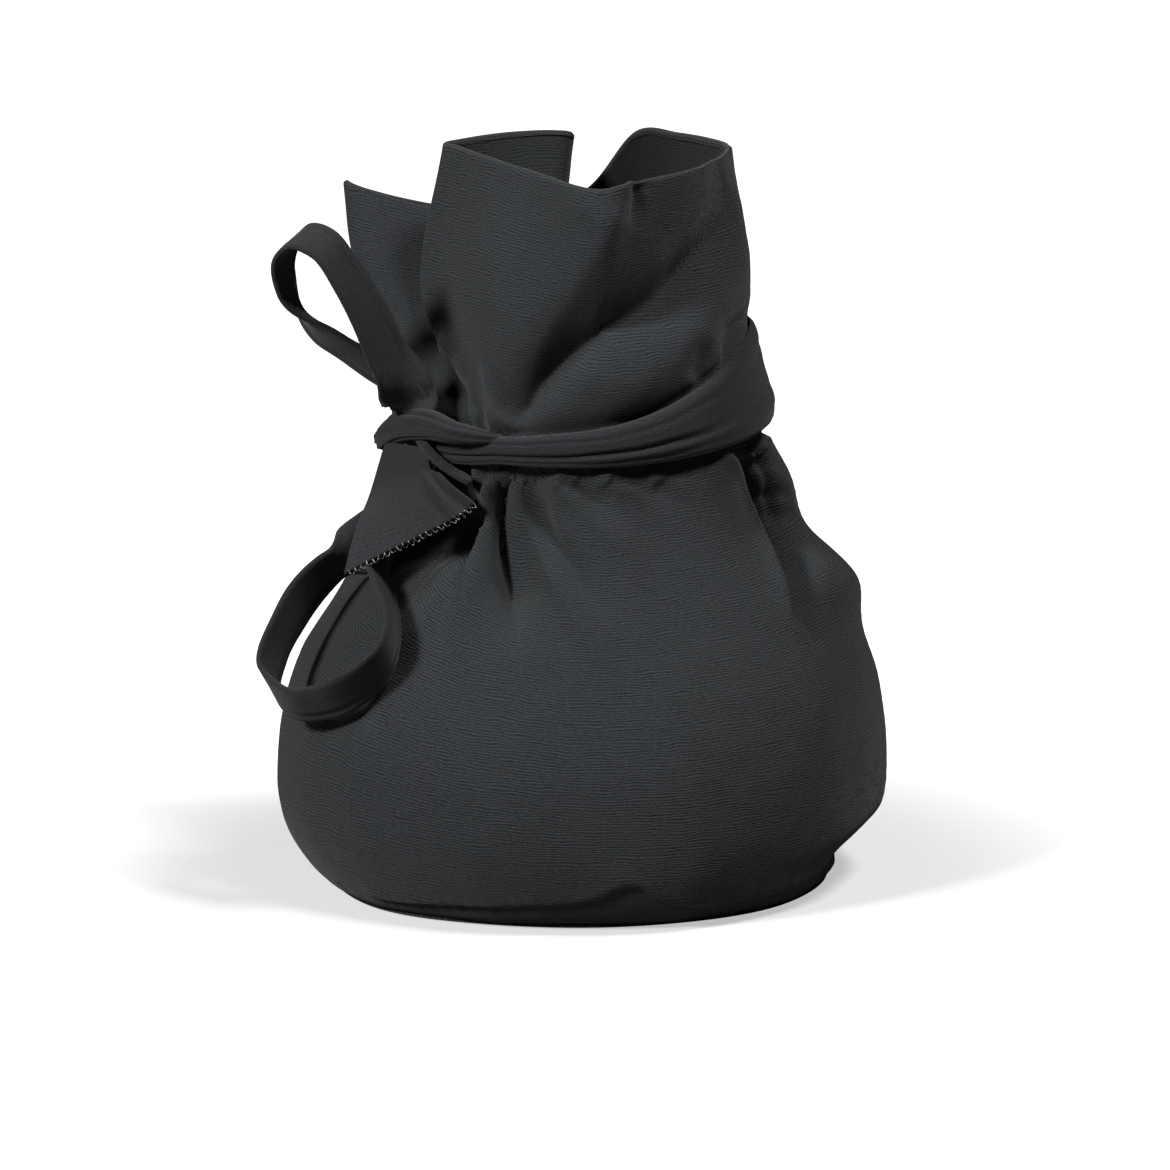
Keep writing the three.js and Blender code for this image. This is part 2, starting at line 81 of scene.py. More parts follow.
# How finely the cloth is meshed, in millimetres: the gathers at the front more closely than the rest. Each
# row spacing holds up to its level.
COLUMN_SPACING = 1.6
FRONT_COLUMNS = 0.95
FRONT_PLACES = (12, 18)
LINING_COARSER = 2
ROW_SPACINGS = [(0.2, 0.9), (0.55, 1.5), (1, 0.9), (2, 1.3), (3, 1.0)]

# Stations round the cloth: azimuth at the belly, azimuth at the gather, (azimuth, drawn in) at the neck,
# (x, y, height from COLLAR_MIDDLE) and (x, y, height from RIM_HEIGHT)
STATIONS = [
    (-190, -182, (-182, 0.5), (0, 43, 0), (-1, 38, -18)),
    (-157, -138, (-138, 0.3), (-34, 38, 0), (-32, 42, -22.5)),
    (-132, -104, (-103, 0.4), (-56, 27, 3), (-58.5, 32.5, -15.5)),
    (-126, -97, (-96, 0.4), (-60, 21, 3), (-62.5, 28, -12.8)),
    (-120, -90, (-89, 0.4), (-56, 15, 3), (-58, 23.5, -13.5)),
    (-98, -60, (-57, 1.6), (-36, 13, 0), (-35, 26, -19)),
    (-84, -50, (-40, 8), (-22, 9, 0), (-17, 29, -8)),
    (-79, -48, (-27, 8.2), (-14, 6, 0), (-7.5, 31, -3)),
    (-76, -46, (-23, 6.9), (-9.5, 3, 0), (-3.4, 28, 0)),
    (-73, -44, (-27, 5.6), (-13.5, 0, 0), (-7, 25, 1)),
    (-64, -41.5, (-31.5, 5.6), (-27, 3.5, 0), (-20, 19.5, 1.5)),
    (-54, -39.5, (-36, 5.4), (-38, 9, 0), (-32.5, 13.5, 1)),
    (-50.5, -37, (-40, 2.8), (-42, 4.5, 0), (-36.5, 9, 1)),
    (-47, -34, (-36, 0.2), (-38.5, -2, 0), (-33, 2.5, 1)),
    (-18, -16, (-16, 0), (-21, -36, 0), (-14, -27, 0)),
    (16, 4, (4, 0), (4, -50, 0), (5, -50, -1)),
    (27, 14, (14, 0.2), (14, -46, 0), (15, -44.5, 0)),
    (55, 45, (45, 0.2), (34, -27, 0), (31.5, -27, 0.5)),
    (84, 84, (84, 0.3), (44.3, 0, 0), (39.5, 2, 1)),
    (93, 94, (94, 0.3), (43.3, 10, 0), (38, 9.5, 1)),
    (120, 115, (115, 0.3), (32, 30, 0), (26, 24.5, 1)),
    (148, 138, (138, 0.4), (20, 40, 0), (15.5, 29.5, 1)),
]
COUNT = len(STATIONS)

# Main folds of the belly: azimuth, lean for each millimetre down, height, reach round, reach up, out
FOLDS = [
    (90, 0, 105, 24, 13, 7.5),
    (85, 0, 60, 32, 14, 2),
    (88, 0, 9.5, 28, 5.5, -8.5),
    (92, 0, 80, 24, 11, 10),
    (68, 0, 103, 9, 13, -4.5),
    (-15, 0.1, 101, 8, 16, -4),
    (-27, -0.1, 97, 9, 18, 2.5),
    (-3, 0.5, 96, 9, 16, 2),
    (140, 0, 100, 9, 15, -3),
    (-150, 0, 100, 9, 15, -3),
]


def mix(a, b, t):
    return a + (b - a) * t


def smooth_step(low, high, x):
    t = np.clip((np.asarray(x, float) - low) / (high - low), 0, 1)
    return t * t * (3 - 2 * t)


def polar(azimuth, radius, z):
    turn = np.radians(azimuth)
    parts = np.broadcast_arrays(radius * np.sin(turn), -radius * np.cos(turn), z)
    return np.stack(parts, axis=-1).astype(float)


def unit(v):
    return v / np.maximum(np.linalg.norm(v, axis=-1, keepdims=True), 1e-9)


def square_to(direction, tangent):
    """The part of a direction that stands square to a line's tangent, as a unit vector."""
    return unit(direction - np.sum(direction * tangent, axis=-1, keepdims=True) * tangent)


def bell(away, reach):
    """1 in the middle, falling off smoothly on both sides."""
    return np.exp(-((away / reach) ** 2))


def running_length(points):
    """How far along its line each point lies, for one line or for several side by side."""
    steps = np.linalg.norm(np.diff(points, axis=0), axis=-1)
    return np.concatenate([np.zeros_like(steps[:1]), np.cumsum(steps, axis=0)])


def column_at(places, place):
    return int(np.argmin(np.abs(places - place)))


def spline(points, shares, closed=False):
    """Points along the centripetal Catmull-Rom curve through the second axis from the end."""
    points = np.asarray(points, float)
    shares = np.asarray(shares, float)
    count = points.shape[-2]
    if closed:
        parts = [points[..., -1:, :], points, points[..., :2, :]]
        along = np.mod(shares, 1) * count
        spans = count
    else:
        before = 2 * points[..., :1, :] - points[..., 1:2, :]
        after = 2 * points[..., -1:, :] - points[..., -2:-1, :]
        parts = [before, points, after]
        along = np.clip(shares, 0, 1) * (count - 1)
        spans = count - 1
    ring = np.concatenate(parts, axis=-2)
    index = np.minimum(along.astype(int), spans - 1)
    t = (along - index)[:, None]
    p0, p1, p2, p3 = (ring[..., index + k, :] for k in range(4))

    def gap(a, b):
        return np.maximum(np.linalg.norm(b - a, axis=-1, keepdims=True), 1e-6) ** 0.5

    d0, d1, d2 = gap(p0, p1), gap(p1, p2), gap(p2, p3)
    m1 = ((p1 - p0) / d0 - (p2 - p0) / (d0 + d1) + (p2 - p1) / d1) * d1
    m2 = ((p2 - p1) / d1 - (p3 - p1) / (d1 + d2) + (p3 - p2) / d2) * d1
    bend = -3 * p1 + 3 * p2 - 2 * m1 - m2
    twist = 2 * p1 - 2 * p2 + m1 + m2
    return p1 + t * (m1 + t * (bend + t * twist))


# The bag's net of points


def wrapped(angle):
    return (np.asarray(angle) + 180) % 360 - 180


def spread(azimuth):
    away = np.minimum(90, np.abs(wrapped(azimuth - SPREAD_AZIMUTH)) * 0.9)
    return np.cos(np.radians(away)) ** 2


def pull(azimuth):
    return KNOT_PULL * bell(wrapped(azimuth - KNOT_TO), PULL_REACH)


def band_low(azimuth):
    return BAND_BOTTOM + BAND_RISE * spread(azimuth)


def band_high(azimuth):
    return band_low(azimuth) + BAND_HEIGHT + BAND_SPREAD * spread(azimuth) - pull(azimuth)


def waist_radius(azimuth, z):
    up = (z - NECK_HEIGHT) / (band_high(azimuth) - NECK_HEIGHT)
    return NECK_RADIUS - WAIST_LEAN * spread(azimuth) * up


def bag_radius(z):
    low = np.sin(np.clip((z - WALL_BOTTOM) / (BELLY_HEIGHT - WALL_BOTTOM), 0, 1) ** 0.7 * math.pi / 2)
    up = np.clip((z - BELLY_HEIGHT) / (NECK_HEIGHT - BELLY_HEIGHT), 0, 1)
    high = (1 + np.cos(math.pi * up**1.2)) / 2
    below = mix(BASE_RADIUS, BELLY_RADIUS, low)
    return np.where(z < BELLY_HEIGHT, below, mix(NECK_RADIUS, BELLY_RADIUS, high))


def main_folds(azimuth, z):
    out = 0
    for middle, lean, height, reach, up, amount in FOLDS:
        round_it = wrapped(azimuth - middle - lean * (height - z)) / reach
        out = out + amount * np.exp(-(round_it**2) - ((z - height) / up) ** 2)
    return out


def station_point(station, level):
    """Where a station lies: levels 0 to 1 are the belly, 1 to 2 the neck and 2 to 3 the collar."""
    belly, gather, (azimuth, drawn_in), middle, rim = station
    if level <= 1:
        z = mix(WALL_BOTTOM, NECK_HEIGHT, level)
        low = 1 - smooth_step(0, BELLY_HEIGHT, z)
        gathered = mix(belly, gather, smooth_step(0.4 * NECK_HEIGHT, NECK_HEIGHT - 12, z))
        turned = mix(gathered, azimuth, smooth_step(NECK_HEIGHT - 13, NECK_HEIGHT, z))
        inset = drawn_in * smooth_step(NECK_HEIGHT - 28, NECK_HEIGHT - 12, z)
        return polar(turned, bag_radius(z) - inset, z) - np.array([BASE_LEFT, BASE_FORWARD, 0]) * low
    top = band_high(azimuth) + 1
    if level <= 2:
        z = mix(NECK_HEIGHT, top, level - 1)
        return polar(azimuth, waist_radius(azimuth, min(z, top - 1)) - drawn_in, z)
    column = [
        polar(azimuth, NECK_RADIUS - drawn_in, NECK_HEIGHT),
        polar(azimuth, waist_radius(azimuth, top - 1) - drawn_in, top),
        np.add(middle, (0, 0, COLLAR_MIDDLE)),
        np.add(rim, (0, 0, RIM_HEIGHT)),
    ]
    return spline(column, [(1 + 2 * (level - 2)) / 3])[0]


def cloth_points(places, levels):
    """The outer face of the cloth as rows of levels by columns of places."""
    rows = [[station_point(station, level) for station in STATIONS] for level in levels]
    points = spline(rows, np.asarray(places) / COUNT, closed=True)
    azimuth = np.degrees(np.arctan2(points[..., 0], -points[..., 1]))
    radius = np.hypot(points[..., 0], points[..., 1])
    out = main_folds(azimuth, points[..., 2]) * (np.asarray(levels)[:, None] <= 1)
    points[..., :2] *= (1 + out / radius)[..., None]
    return points


def spaced(marks, steps):
    """Values between the marks, each span cut into its number of steps."""
    values = []
    for start, end, count in zip(marks[:-1], marks[1:], steps):
        values.extend(mix(start, end, np.arange(count) / count))
    return np.array(values + [marks[-1]])


def cloth_marks():
    """Places from the left seam once round, with both seams among them, and levels from base to rim."""
    marks = [LEFT_SEAM, *range(6, 19), RIGHT_SEAM, *range(19, 28), LEFT_SEAM + COUNT]
    rough = cloth_points(marks, [0.25, 2.5, 3])
    lengths = np.linalg.norm(np.diff(rough, axis=1), axis=-1).max(axis=0)
    low, high = FRONT_PLACES
    spacings = [FRONT_COLUMNS if low <= mark < high else COLUMN_SPACING for mark in marks[:-1]]
    steps = [max(3, math.ceil(length / spacing)) for length, spacing in zip(lengths, spacings)]
    places = spaced(marks, steps)
    marks = np.linspace(0, 3, 31)
    column = cloth_points([15.0], marks)[:, 0]
    lengths = np.linalg.norm(np.diff(column, axis=0), axis=-1)
    steps = []
    for mark, length in zip(marks, lengths):
        spacing = next(spacing for limit, spacing in ROW_SPACINGS if mark < limit - 0.01)
        steps.append(max(1, math.ceil(length / spacing)))
    return places, spaced(marks, steps)


def grid_normals(points, closed):
    """Outward directions on a net of rows (upwards) and columns (round, to the right)."""
    if closed:
        padded = np.concatenate([points[:, -2:-1], points, points[:, 1:2]], axis=1)
        across = (padded[:, 2:] - padded[:, :-2]) / 2
    else:
        across = np.gradient(points, axis=1)
    along = np.gradient(points, axis=0)
    return unit(np.cross(across, along))


# Creases: the lines that the tie's gathers and the worn folds follow, as (place, height) points with how
# far the cloth moves out along them, how far they reach to each side, and how long they fade at each end.
# Left and right are the viewer's for a line that runs down. A step lifts the left side and drops the right.


def crease(path, depth, left, right, fade, power=2.0, step=0.0, drop=1.0):
    """A crease's values; a reach given as one number holds along the whole line."""
    left, right = (reach if isinstance(reach, tuple) else (reach, reach) for reach in (left, right))
    return path, depth, left, right, fade, power, step, drop


CREASES = [crease(*row) for row in (
    # the collar's front: one long ridge from the rim to the knot, and its deep valley to the right
    (((15.56, 189.7), (15.31, 185), (15, 177.7), (14.85, 170.5), (14.7, 163.7), (14.53, 156),
     (14.34, 148.9), (14.09, 140.6), (13.73, 131.9), (13.51, 125.2)), 3, (14, 6), (5, 3), (0.15, 0.08),
     1.7),
    (((17.9, 182), (17.73, 177.9), (17.37, 172.1), (16.9, 165.5), (16.56, 159.7), (16.23, 156),
     (15.5, 152.2), (14.74, 148.2), (14.4, 142.9), (13.98, 135.7), (13.63, 128.8)), -10.5, (15, 6),
     (6, 3.5), (0.35, 0.08), 1.3),
    (((17.17, 157.7), (16.72, 149), (16.23, 140.3), (14.94, 133.8)), 2, (8, 6), (9, 7), (0.3, 0.3)),
    (((15.98, 192), (16, 186.5), (15.88, 179)), -2.2, (2.2, 2.6), (2.6, 4), (0.02, 0.5), 1.6),
    (((17.0, 150), (16.9, 144), (16.85, 138)), -1.6, 4, 4, (0.5, 0.3)),
    (((17.75, 153), (17.5, 147), (17.3, 142)), -1.6, 4, 4, (0.5, 0.3)),
    (((17.75, 186), (17.8, 176), (17.8, 166), (17.8, 156)), 1.5, 8, 8, (0.4, 0.4)),
    # gathers that run down to the knot at the left of the collar's front
    (((12.25, 143.2), (13.07, 145), (13.32, 145.1)), 1.6, 3, 3, (0.3, 0.3)),
    (((12.88, 146.1), (13.1, 143), (13.15, 138.2), (13.07, 128)), 2, (2.4, 2), (2.4, 2), (0.3, 0.05)),
    (((13.2, 140), (13.1, 136), (13.24, 131), (13.27, 124)), -2, (2.2, 2), (2.2, 2), (0.3, 0.05), 1.8),
    (((13.63, 145.3), (13.63, 139.3), (13.51, 131.8), (13.44, 124)), 2.6, (3, 1.4), (2.2, 1.2), (0.4, 0.05),
     1.6),
    (((12.3, 141), (12.5, 134), (12.6, 126)), -1.4, (2.6, 2), (2.6, 2), (0.2, 0.05), 2),
    # the cloth turns in above the tie and again below it, and puffs out between the gathers there
    (((13.45, 126.5), (14.15, 126.5), (14.77, 127.4), (15.88, 129), (16.44, 131.5), (16.95, 136),
     (17.63, 141)), -2.6, 2.4, 3, (0.08, 0.12), 1.6),
    (((12.7, 114.5), (13.3, 115.5), (14, 116), (15.2, 117.5), (16.2, 117.5), (16.9, 118.5), (17.3, 119.5)),
     -3.4, 3, 2.4, (0.08, 0.1), 1.7),
    (((13.34, 115), (13.32, 108.3)), 1.8, 2.2, 2.2, (0.4, 0.5)),
    (((14.3, 116), (14.45, 112.2)), 2, 2.6, 2.6, (0.4, 0.5)),
    (((15.2, 117), (15.6, 113.6)), 1.8, 3, 3, (0.4, 0.5)),
    (((16.33, 116.5), (16.46, 112.2)), 1.4, 3, 3, (0.4, 0.5)),
    # gathers under the tie, from left to right
    (((12.2, 106), (12.5, 101), (12.9, 97.5), (13.25, 97)), -9, (7, 5), (4, 3), (0.15, 0.12), 1.4),
    (((13, 112), (13.05, 98), (13.05, 85.6), (13.32, 70.9)), -2.4, (4, 6), (3, 4), (0.1, 0.5)),
    (((12.7, 100), (12.88, 78.2), (13.22, 63.5)), 1.6, (4, 6), (3, 4), (0.3, 0.5)),
    (((13.34, 114.1), (13.24, 106.4), (13.29, 96.6), (13.44, 85.6), (13.59, 73.3), (13.68, 60)), 2.4,
     (3, 5), (2, 4), (0.1, 0.5), 1.7),
    (((13.54, 114), (13.63, 103.6), (13.78, 93.9), (13.95, 84.8), (14.12, 72)), -10, (3, 4.4), (3.4, 5),
     (0.02, 0.45), 1.3),
    (((13.53, 115), (13.68, 111.2), (13.85, 104.5), (14.21, 94.8), (14.53, 84.8), (14.7, 73.3),
     (14.72, 60)), 2.6, (2, 4), (2.6, 6), (0.1, 0.5), 1.6),
    (((13.9, 114), (14.23, 102.7), (14.55, 94.8), (14.81, 87.3), (15.0, 78)), -3.2, (2.2, 5), (2.6, 5),
     (0.05, 0.5), 1.5),
    (((14.34, 115), (14.64, 110.3), (15.06, 103.6), (15.81, 97.4), (16.2, 88)), 1.7, (2.4, 6), (3, 6),
     (0.1, 0.5), 1.8),
    (((14.68, 115), (15.19, 108.3), (16.08, 100.1)), -1.8, (2, 5), (2.4, 5), (0.1, 0.6), 1.6),
    (((15.44, 116), (15.94, 113.1), (16.3, 108)), 1, (2, 3), (2, 3), (0.1, 0.5)),
    (((15.9, 117), (16.44, 110.3), (16.72, 104)), -1.2, (2, 4), (2, 4), (0.1, 0.6)),
    # the front panel lies over the drawn-in side along one sharp edge
    (((17.22, 121), (17.32, 117), (17.49, 110.3), (17.59, 101), (17.49, 92.2), (17.34, 83.2), (17.24, 76),
     (17.18, 68)), 0, (5, 4), (6, 3), (0.04, 0.3), 2, 3.6),
    (((17.5, 119), (17.66, 108.3), (17.72, 99.2), (17.6, 90.6), (17.44, 84), (17.34, 76), (17.27, 66)), -10,
     (2, 1.2), (8, 3), (0.03, 0.5), 1.3),
    (((17.88, 92), (17.7, 84), (17.5, 76)), 1.6, 3, 7, (0.4, 0.5)),
    # the right seam where it shows, and the puckers beside it
    (((17.9, 119), (17.88, 110), (17.86, 102), (17.83, 94)), -1.8, 1.4, 1.2, (0.05, 0.3)),
    (((17.7, 113), (18.1, 111), (18.5, 108)), -0.8, 1.8, 1.8, (0.2, 0.4)),
    (((17.6, 104), (18, 103), (18.4, 101)), -1, 2, 2, (0.2, 0.4)),
    (((17.7, 99), (18, 97.4), (18.36, 96)), -0.8, 2, 2, (0.2, 0.4)),
    # slack under the lower loop and round the back
    (((10.14, 46.1), (11.43, 52.4), (13.17, 57.7)), -1.8, 4, 5, (0.3, 0.4)),
    (((9.8, 54), (10.9, 60), (12, 66)), 1.4, (5, 6), (5, 6), (0.3, 0.4)),
    # the belly hangs over the base with a crisp edge and one small tuck
    (((18.6, 9), (17.6, 8.5), (17.05, 7.6), (16.36, 6.4), (15.62, 7), (15.1, 8.6), (14.96, 10),
     (14.86, 12.6), (14.79, 13.6), (14.7, 12.6), (14.62, 10.6), (14.5, 9), (14.17, 7.6), (13.68, 6),
     (13.2, 5), (12.4, 5)), 0, 5, 3, (0.1, 0.1), 2, 1.6, 0.25),
)]
# Gathers round the back, where the tie draws the cloth in as it does at the front
for turn, place in enumerate(np.arange(19.4, 27.2, 0.62)):
    lean = 0.12 * math.sin(2.3 * turn)
    reach = 3 + 0.6 * math.sin(1.7 * turn)
    hang = 76 + 9 * math.sin(3.1 * turn)
    for side, depth in ((0, -2.4), (0.3, 1.5)):
        path = [(place + side, 116), (place + side + lean, 104), (place + side + 2 * lean, 90),
                (place + side + 2.6 * lean, hang)]
        CREASES.append(crease(path, depth, (reach, 2 * reach), (reach, 2 * reach), (0.03, 0.6), 1.7))
    path = [(place, 164), (place, 150), (place, 138), (place, 128)]
    CREASES.append(crease(path, -1.5, (2 * reach, reach), (2 * reach, reach), (0.6, 0.03), 1.7))


# How many points a crease is followed through, how many places beside it may move, and how sharp a step is
CREASE_POINTS = 70
CREASE_SPAN = 2.2
STEP_WIDTH = 0.8


def crease_line(places, net, path):
    """A crease's points on the cloth, closely spaced."""
    found = []
    for place, height in path:
        column = net[:, column_at(places, place)]
        found.append([np.interp(height, column[:, 2], column[:, k]) for k in range(3)])
    return spline(np.array(found), np.linspace(0, 1, CREASE_POINTS))


def crease_displacement(places, net, normals):
    """How far each point moves along its normal for all creases together."""
    total = np.zeros(net.shape[:2])
    for path, depth, left, right, (start, end), power, step, drop in CREASES:
        line = crease_line(places, net, path)
        along = [place for place, _ in path]
        near = (places > min(along) - CREASE_SPAN) & (places < max(along) + CREASE_SPAN)
        offsets = net[:, near][:, :, None, :] - line[None, None]
        distances = np.linalg.norm(offsets, axis=-1)
        nearest = distances.argmin(axis=-1)
        distance = distances.min(axis=-1)
        share = nearest / (len(line) - 1)
        tangent = unit(np.gradient(line, axis=0))[nearest]
        gap = np.take_along_axis(offsets, nearest[..., None, None], axis=2)[:, :, 0]
        side = np.sum(np.cross(tangent, gap) * normals[:, near], axis=-1)
        reach = np.where(side < 0, mix(*left, share), mix(*right, share))
        taper = smooth_step(-0.02, start, share) * (1 - smooth_step(1 - end, 1.02, share))
        moved = depth * np.exp(-((distance / reach) ** power))
        over = np.tanh(-side / STEP_WIDTH) * np.exp(-distance / reach)
        moved = moved + step * np.where(over > 0, over, drop * over)
        total[:, near] += moved * taper
    return total


# The side seams: the length of a stitch, and the groove's and the puckers' height and reach
STITCH = 3.2
GROOVE_DEPTH = 0.35
GROOVE_REACH = 1.3
PUCKER_HEIGHT = 0.1
PUCKER_REACH = 2.4


def seam_displacement(places, net):
    """The two side seams: a shallow groove where the panels are turned in, puckered by the stitches."""
    total = np.zeros(net.shape[:2])
    round_it = running_length(net.swapaxes(0, 1)).T
    up = running_length(net[:, 0])[:, None]
    for seam in (LEFT_SEAM, RIGHT_SEAM, LEFT_SEAM + COUNT):
        column = column_at(places, seam)
        away = np.abs(round_it - round_it[:, column: column + 1])
        pucker = PUCKER_HEIGHT * np.sin(2 * math.pi * up / STITCH) * bell(away, PUCKER_REACH)
        total += pucker - GROOVE_DEPTH * bell(away, GROOVE_REACH)
    return total


# The base's blunt corners: azimuth, reach in degrees and how far out, and how high they reach
BASE_CORNERS = [(-46, 20, 3), (46, 16, 1)]
CORNER_HEIGHT = 8


def base_corners(azimuth, z):
    """How far the cloth pushes out at the base, which sags into blunt corners at the front."""
    out = sum(amount * bell(wrapped(azimuth - middle), reach) for middle, reach, amount in BASE_CORNERS)
    return out * bell(z, CORNER_HEIGHT)


# Small uneven waves: size and height
WAVES = ((23, 0.4), (8, 0.16))


def wrinkles(points):
    """Small uneven waves that any handled cloth has."""
    flat = points.reshape(-1, 3)
    waves = [sum(height * noise.noise(Vector(p / size)) for size, height in WAVES) for p in flat]
    return np.array(waves).reshape(points.shape[:2])


def lowest_near(values, reach):
    """Each point's lowest value within some rows and columns, softened again."""
    for _ in range(reach):
        for axis in (0, 1):
            values = np.minimum(values, np.minimum(np.roll(values, 1, axis), np.roll(values, -1, axis)))
    for _ in range(reach):
        for axis in (0, 1):
            values = (np.roll(values, 1, axis) + 2 * values + np.roll(values, -1, axis)) / 4
    return values


def shaped_cloth():
    """The outer face of the whole bag, the lining's face behind it and their threads, with the levels."""
    places, levels = cloth_marks()
    net = cloth_points(places, levels)
    normals = grid_normals(net, closed=True)
    moved = crease_displacement(places, net, normals) + seam_displacement(places, net) + wrinkles(net)
    moved *= smooth_step(0, 0.03, levels)[:, None]
    azimuth = np.degrees(np.arctan2(net[..., 0], -net[..., 1]))
    corners = base_corners(azimuth, net[..., 2])
    net = net + unit(net * (1, 1, 0)) * corners[..., None]
    outside = net + normals * moved[..., None]
    near_rim = smooth_step(2.75, 2.95, levels)[:, None]
    behind = mix(lowest_near(moved, 3), moved, near_rim) - LINING_DEPTH - CLOTH
    inside = net + normals * behind[..., None]
    return outside, inside, thread_map(net, places), places, levels


# Making pieces


def make_piece(name, points, faces, uv):
    """A mesh object in metres from points in millimetres, with its thread coordinates."""
    mesh = bpy.data.meshes.new(name)
    mesh.from_pydata([tuple(p) for p in np.asarray(points) * MM], [], faces)
    layer = mesh.uv_layers.new(name="threads")
    corners = np.empty(len(mesh.loops), dtype=int)
    mesh.loops.foreach_get("vertex_index", corners)
    layer.data.foreach_set("uv", np.asarray(uv, dtype=np.float32)[corners].ravel())
    mesh.shade_smooth()
    mesh.update()
    piece = bpy.data.objects.new(name, mesh)
    bpy.context.scene.collection.objects.link(piece)
    return piece


def sheet_faces(rows, columns):
    """Quads of a net of points, facing the viewer who sees columns run to the right and rows upwards."""
    faces = []
    for r in range(rows - 1):
        for c in range(columns - 1):
            a = r * columns + c
            faces.append((a, a + 1, a + columns + 1, a + columns))
    return faces


def thicken(piece, thickness):
    """Gives a sheet its thickness behind the face it shows."""
    solid = piece.modifiers.new("cloth thickness", "SOLIDIFY")
    solid.thickness = thickness * MM
    solid.offset = -1
    return piece


def cloth_sheet(name, points, uv):
    rows, columns = points.shape[:2]
    return make_piece(name, points.reshape(-1, 3), sheet_faces(rows, columns), uv.reshape(-1, 2))


def tube_faces(rows, sides):
    """Quads round a loft of closed rows, with each end closed by a fan of its own corners."""
    faces = []
    for r in range(rows - 1):
        for s in range(sides):
            a = r * sides + s
            b = r * sides + (s + 1) % sides
            faces.append((a, b, b + sides, a + sides))
    faces.append(tuple(range(sides))[::-1])
    faces.append(tuple((rows - 1) * sides + s for s in range(sides)))
    return faces


def select_only(piece):
    bpy.ops.object.select_all(action="DESELECT")
    bpy.context.view_layer.objects.active = piece
    piece.select_set(True)


def outward(piece):
    """Turns all faces outwards."""
    select_only(piece)
    bpy.ops.object.mode_set(mode="EDIT")
    bpy.ops.mesh.select_all(action="SELECT")
    bpy.ops.mesh.normals_make_consistent(inside=False)
    bpy.ops.object.mode_set(mode="OBJECT")
    piece.select_set(False)
    return piece


def loft(name, sections, uv):
    """A closed solid through rows of points."""
    faces = tube_faces(*sections.shape[:2])
    return outward(make_piece(name, sections.reshape(-1, 3), faces, uv.reshape(-1, 2)))


def threads_of(u, v):
    """Thread coordinates, u along the ribs and v across them, in millimetres."""
    return np.stack(np.broadcast_arrays(u, v), axis=-1)


# Finishes


def linear(colour):
    """A hex sRGB colour as linear RGBA."""
    parts = [(colour >> shift & 255) / 255 for shift in (16, 8, 0)]
    return [p / 12.92 if p <= 0.04045 else ((p + 0.055) / 1.055) ** 2.4 for p in parts] + [1]


def add_node(tree, kind, settings=None, inputs=None):
    """A node with its settings; an input is a plain value or another node's socket."""
    made = tree.nodes.new(kind)
    for name, value in (settings or {}).items():
        setattr(made, name, value)
    for key, value in (inputs or {}).items():
        if isinstance(value, bpy.types.NodeSocket):
            tree.links.new(value, made.inputs[key])
        else:
            made.inputs[key].default_value = value
    return made


def maths(tree, operation, *values):
    return add_node(tree, "ShaderNodeMath", {"operation": operation}, dict(enumerate(values))).outputs[0]


def blank_material(name):
    """A material without nodes, and its tree."""
    material = bpy.data.materials.new(name)
    material.use_nodes = True
    material.node_tree.nodes.clear()
    return material, material.node_tree


def between(tree, share, low, high):
    """The colour at a share of the way from one hex colour to another."""
    shades = {"Factor": share, 6: linear(low), 7: linear(high)}
    return add_node(tree, "ShaderNodeMix", {"data_type": "RGBA"}, shades).outputs[2]


def surface(tree, relief, values):
    """The shader with its relief, joined to the material's output."""
    normal = add_node(tree, "ShaderNodeBump", None, relief).outputs[0]
    shader = add_node(tree, "ShaderNodeBsdfPrincipled", None, {**values, "Normal": normal})
    add_node(tree, "ShaderNodeOutputMaterial", None, {"Surface": shader.outputs[0]})


# The weave: millimetres from rib to rib, from dot to dot along a rib, and that a rib may wander
RIB_PITCH = 0.78
CROSS_PITCH = 0.7
RIB_WANDER = 1.8
DOT_DEPTH = 0.24
# Noises: grains to the millimetre along the ribs and across them, and their detail
WANDER = (0.11, 0.25, 1.0)
PATCHES = (0.16, 0.5, 2.0)
FUZZ = (1.9, 2.6, 2.0)
STREAKS = (0.7, 2.4, 1.0)


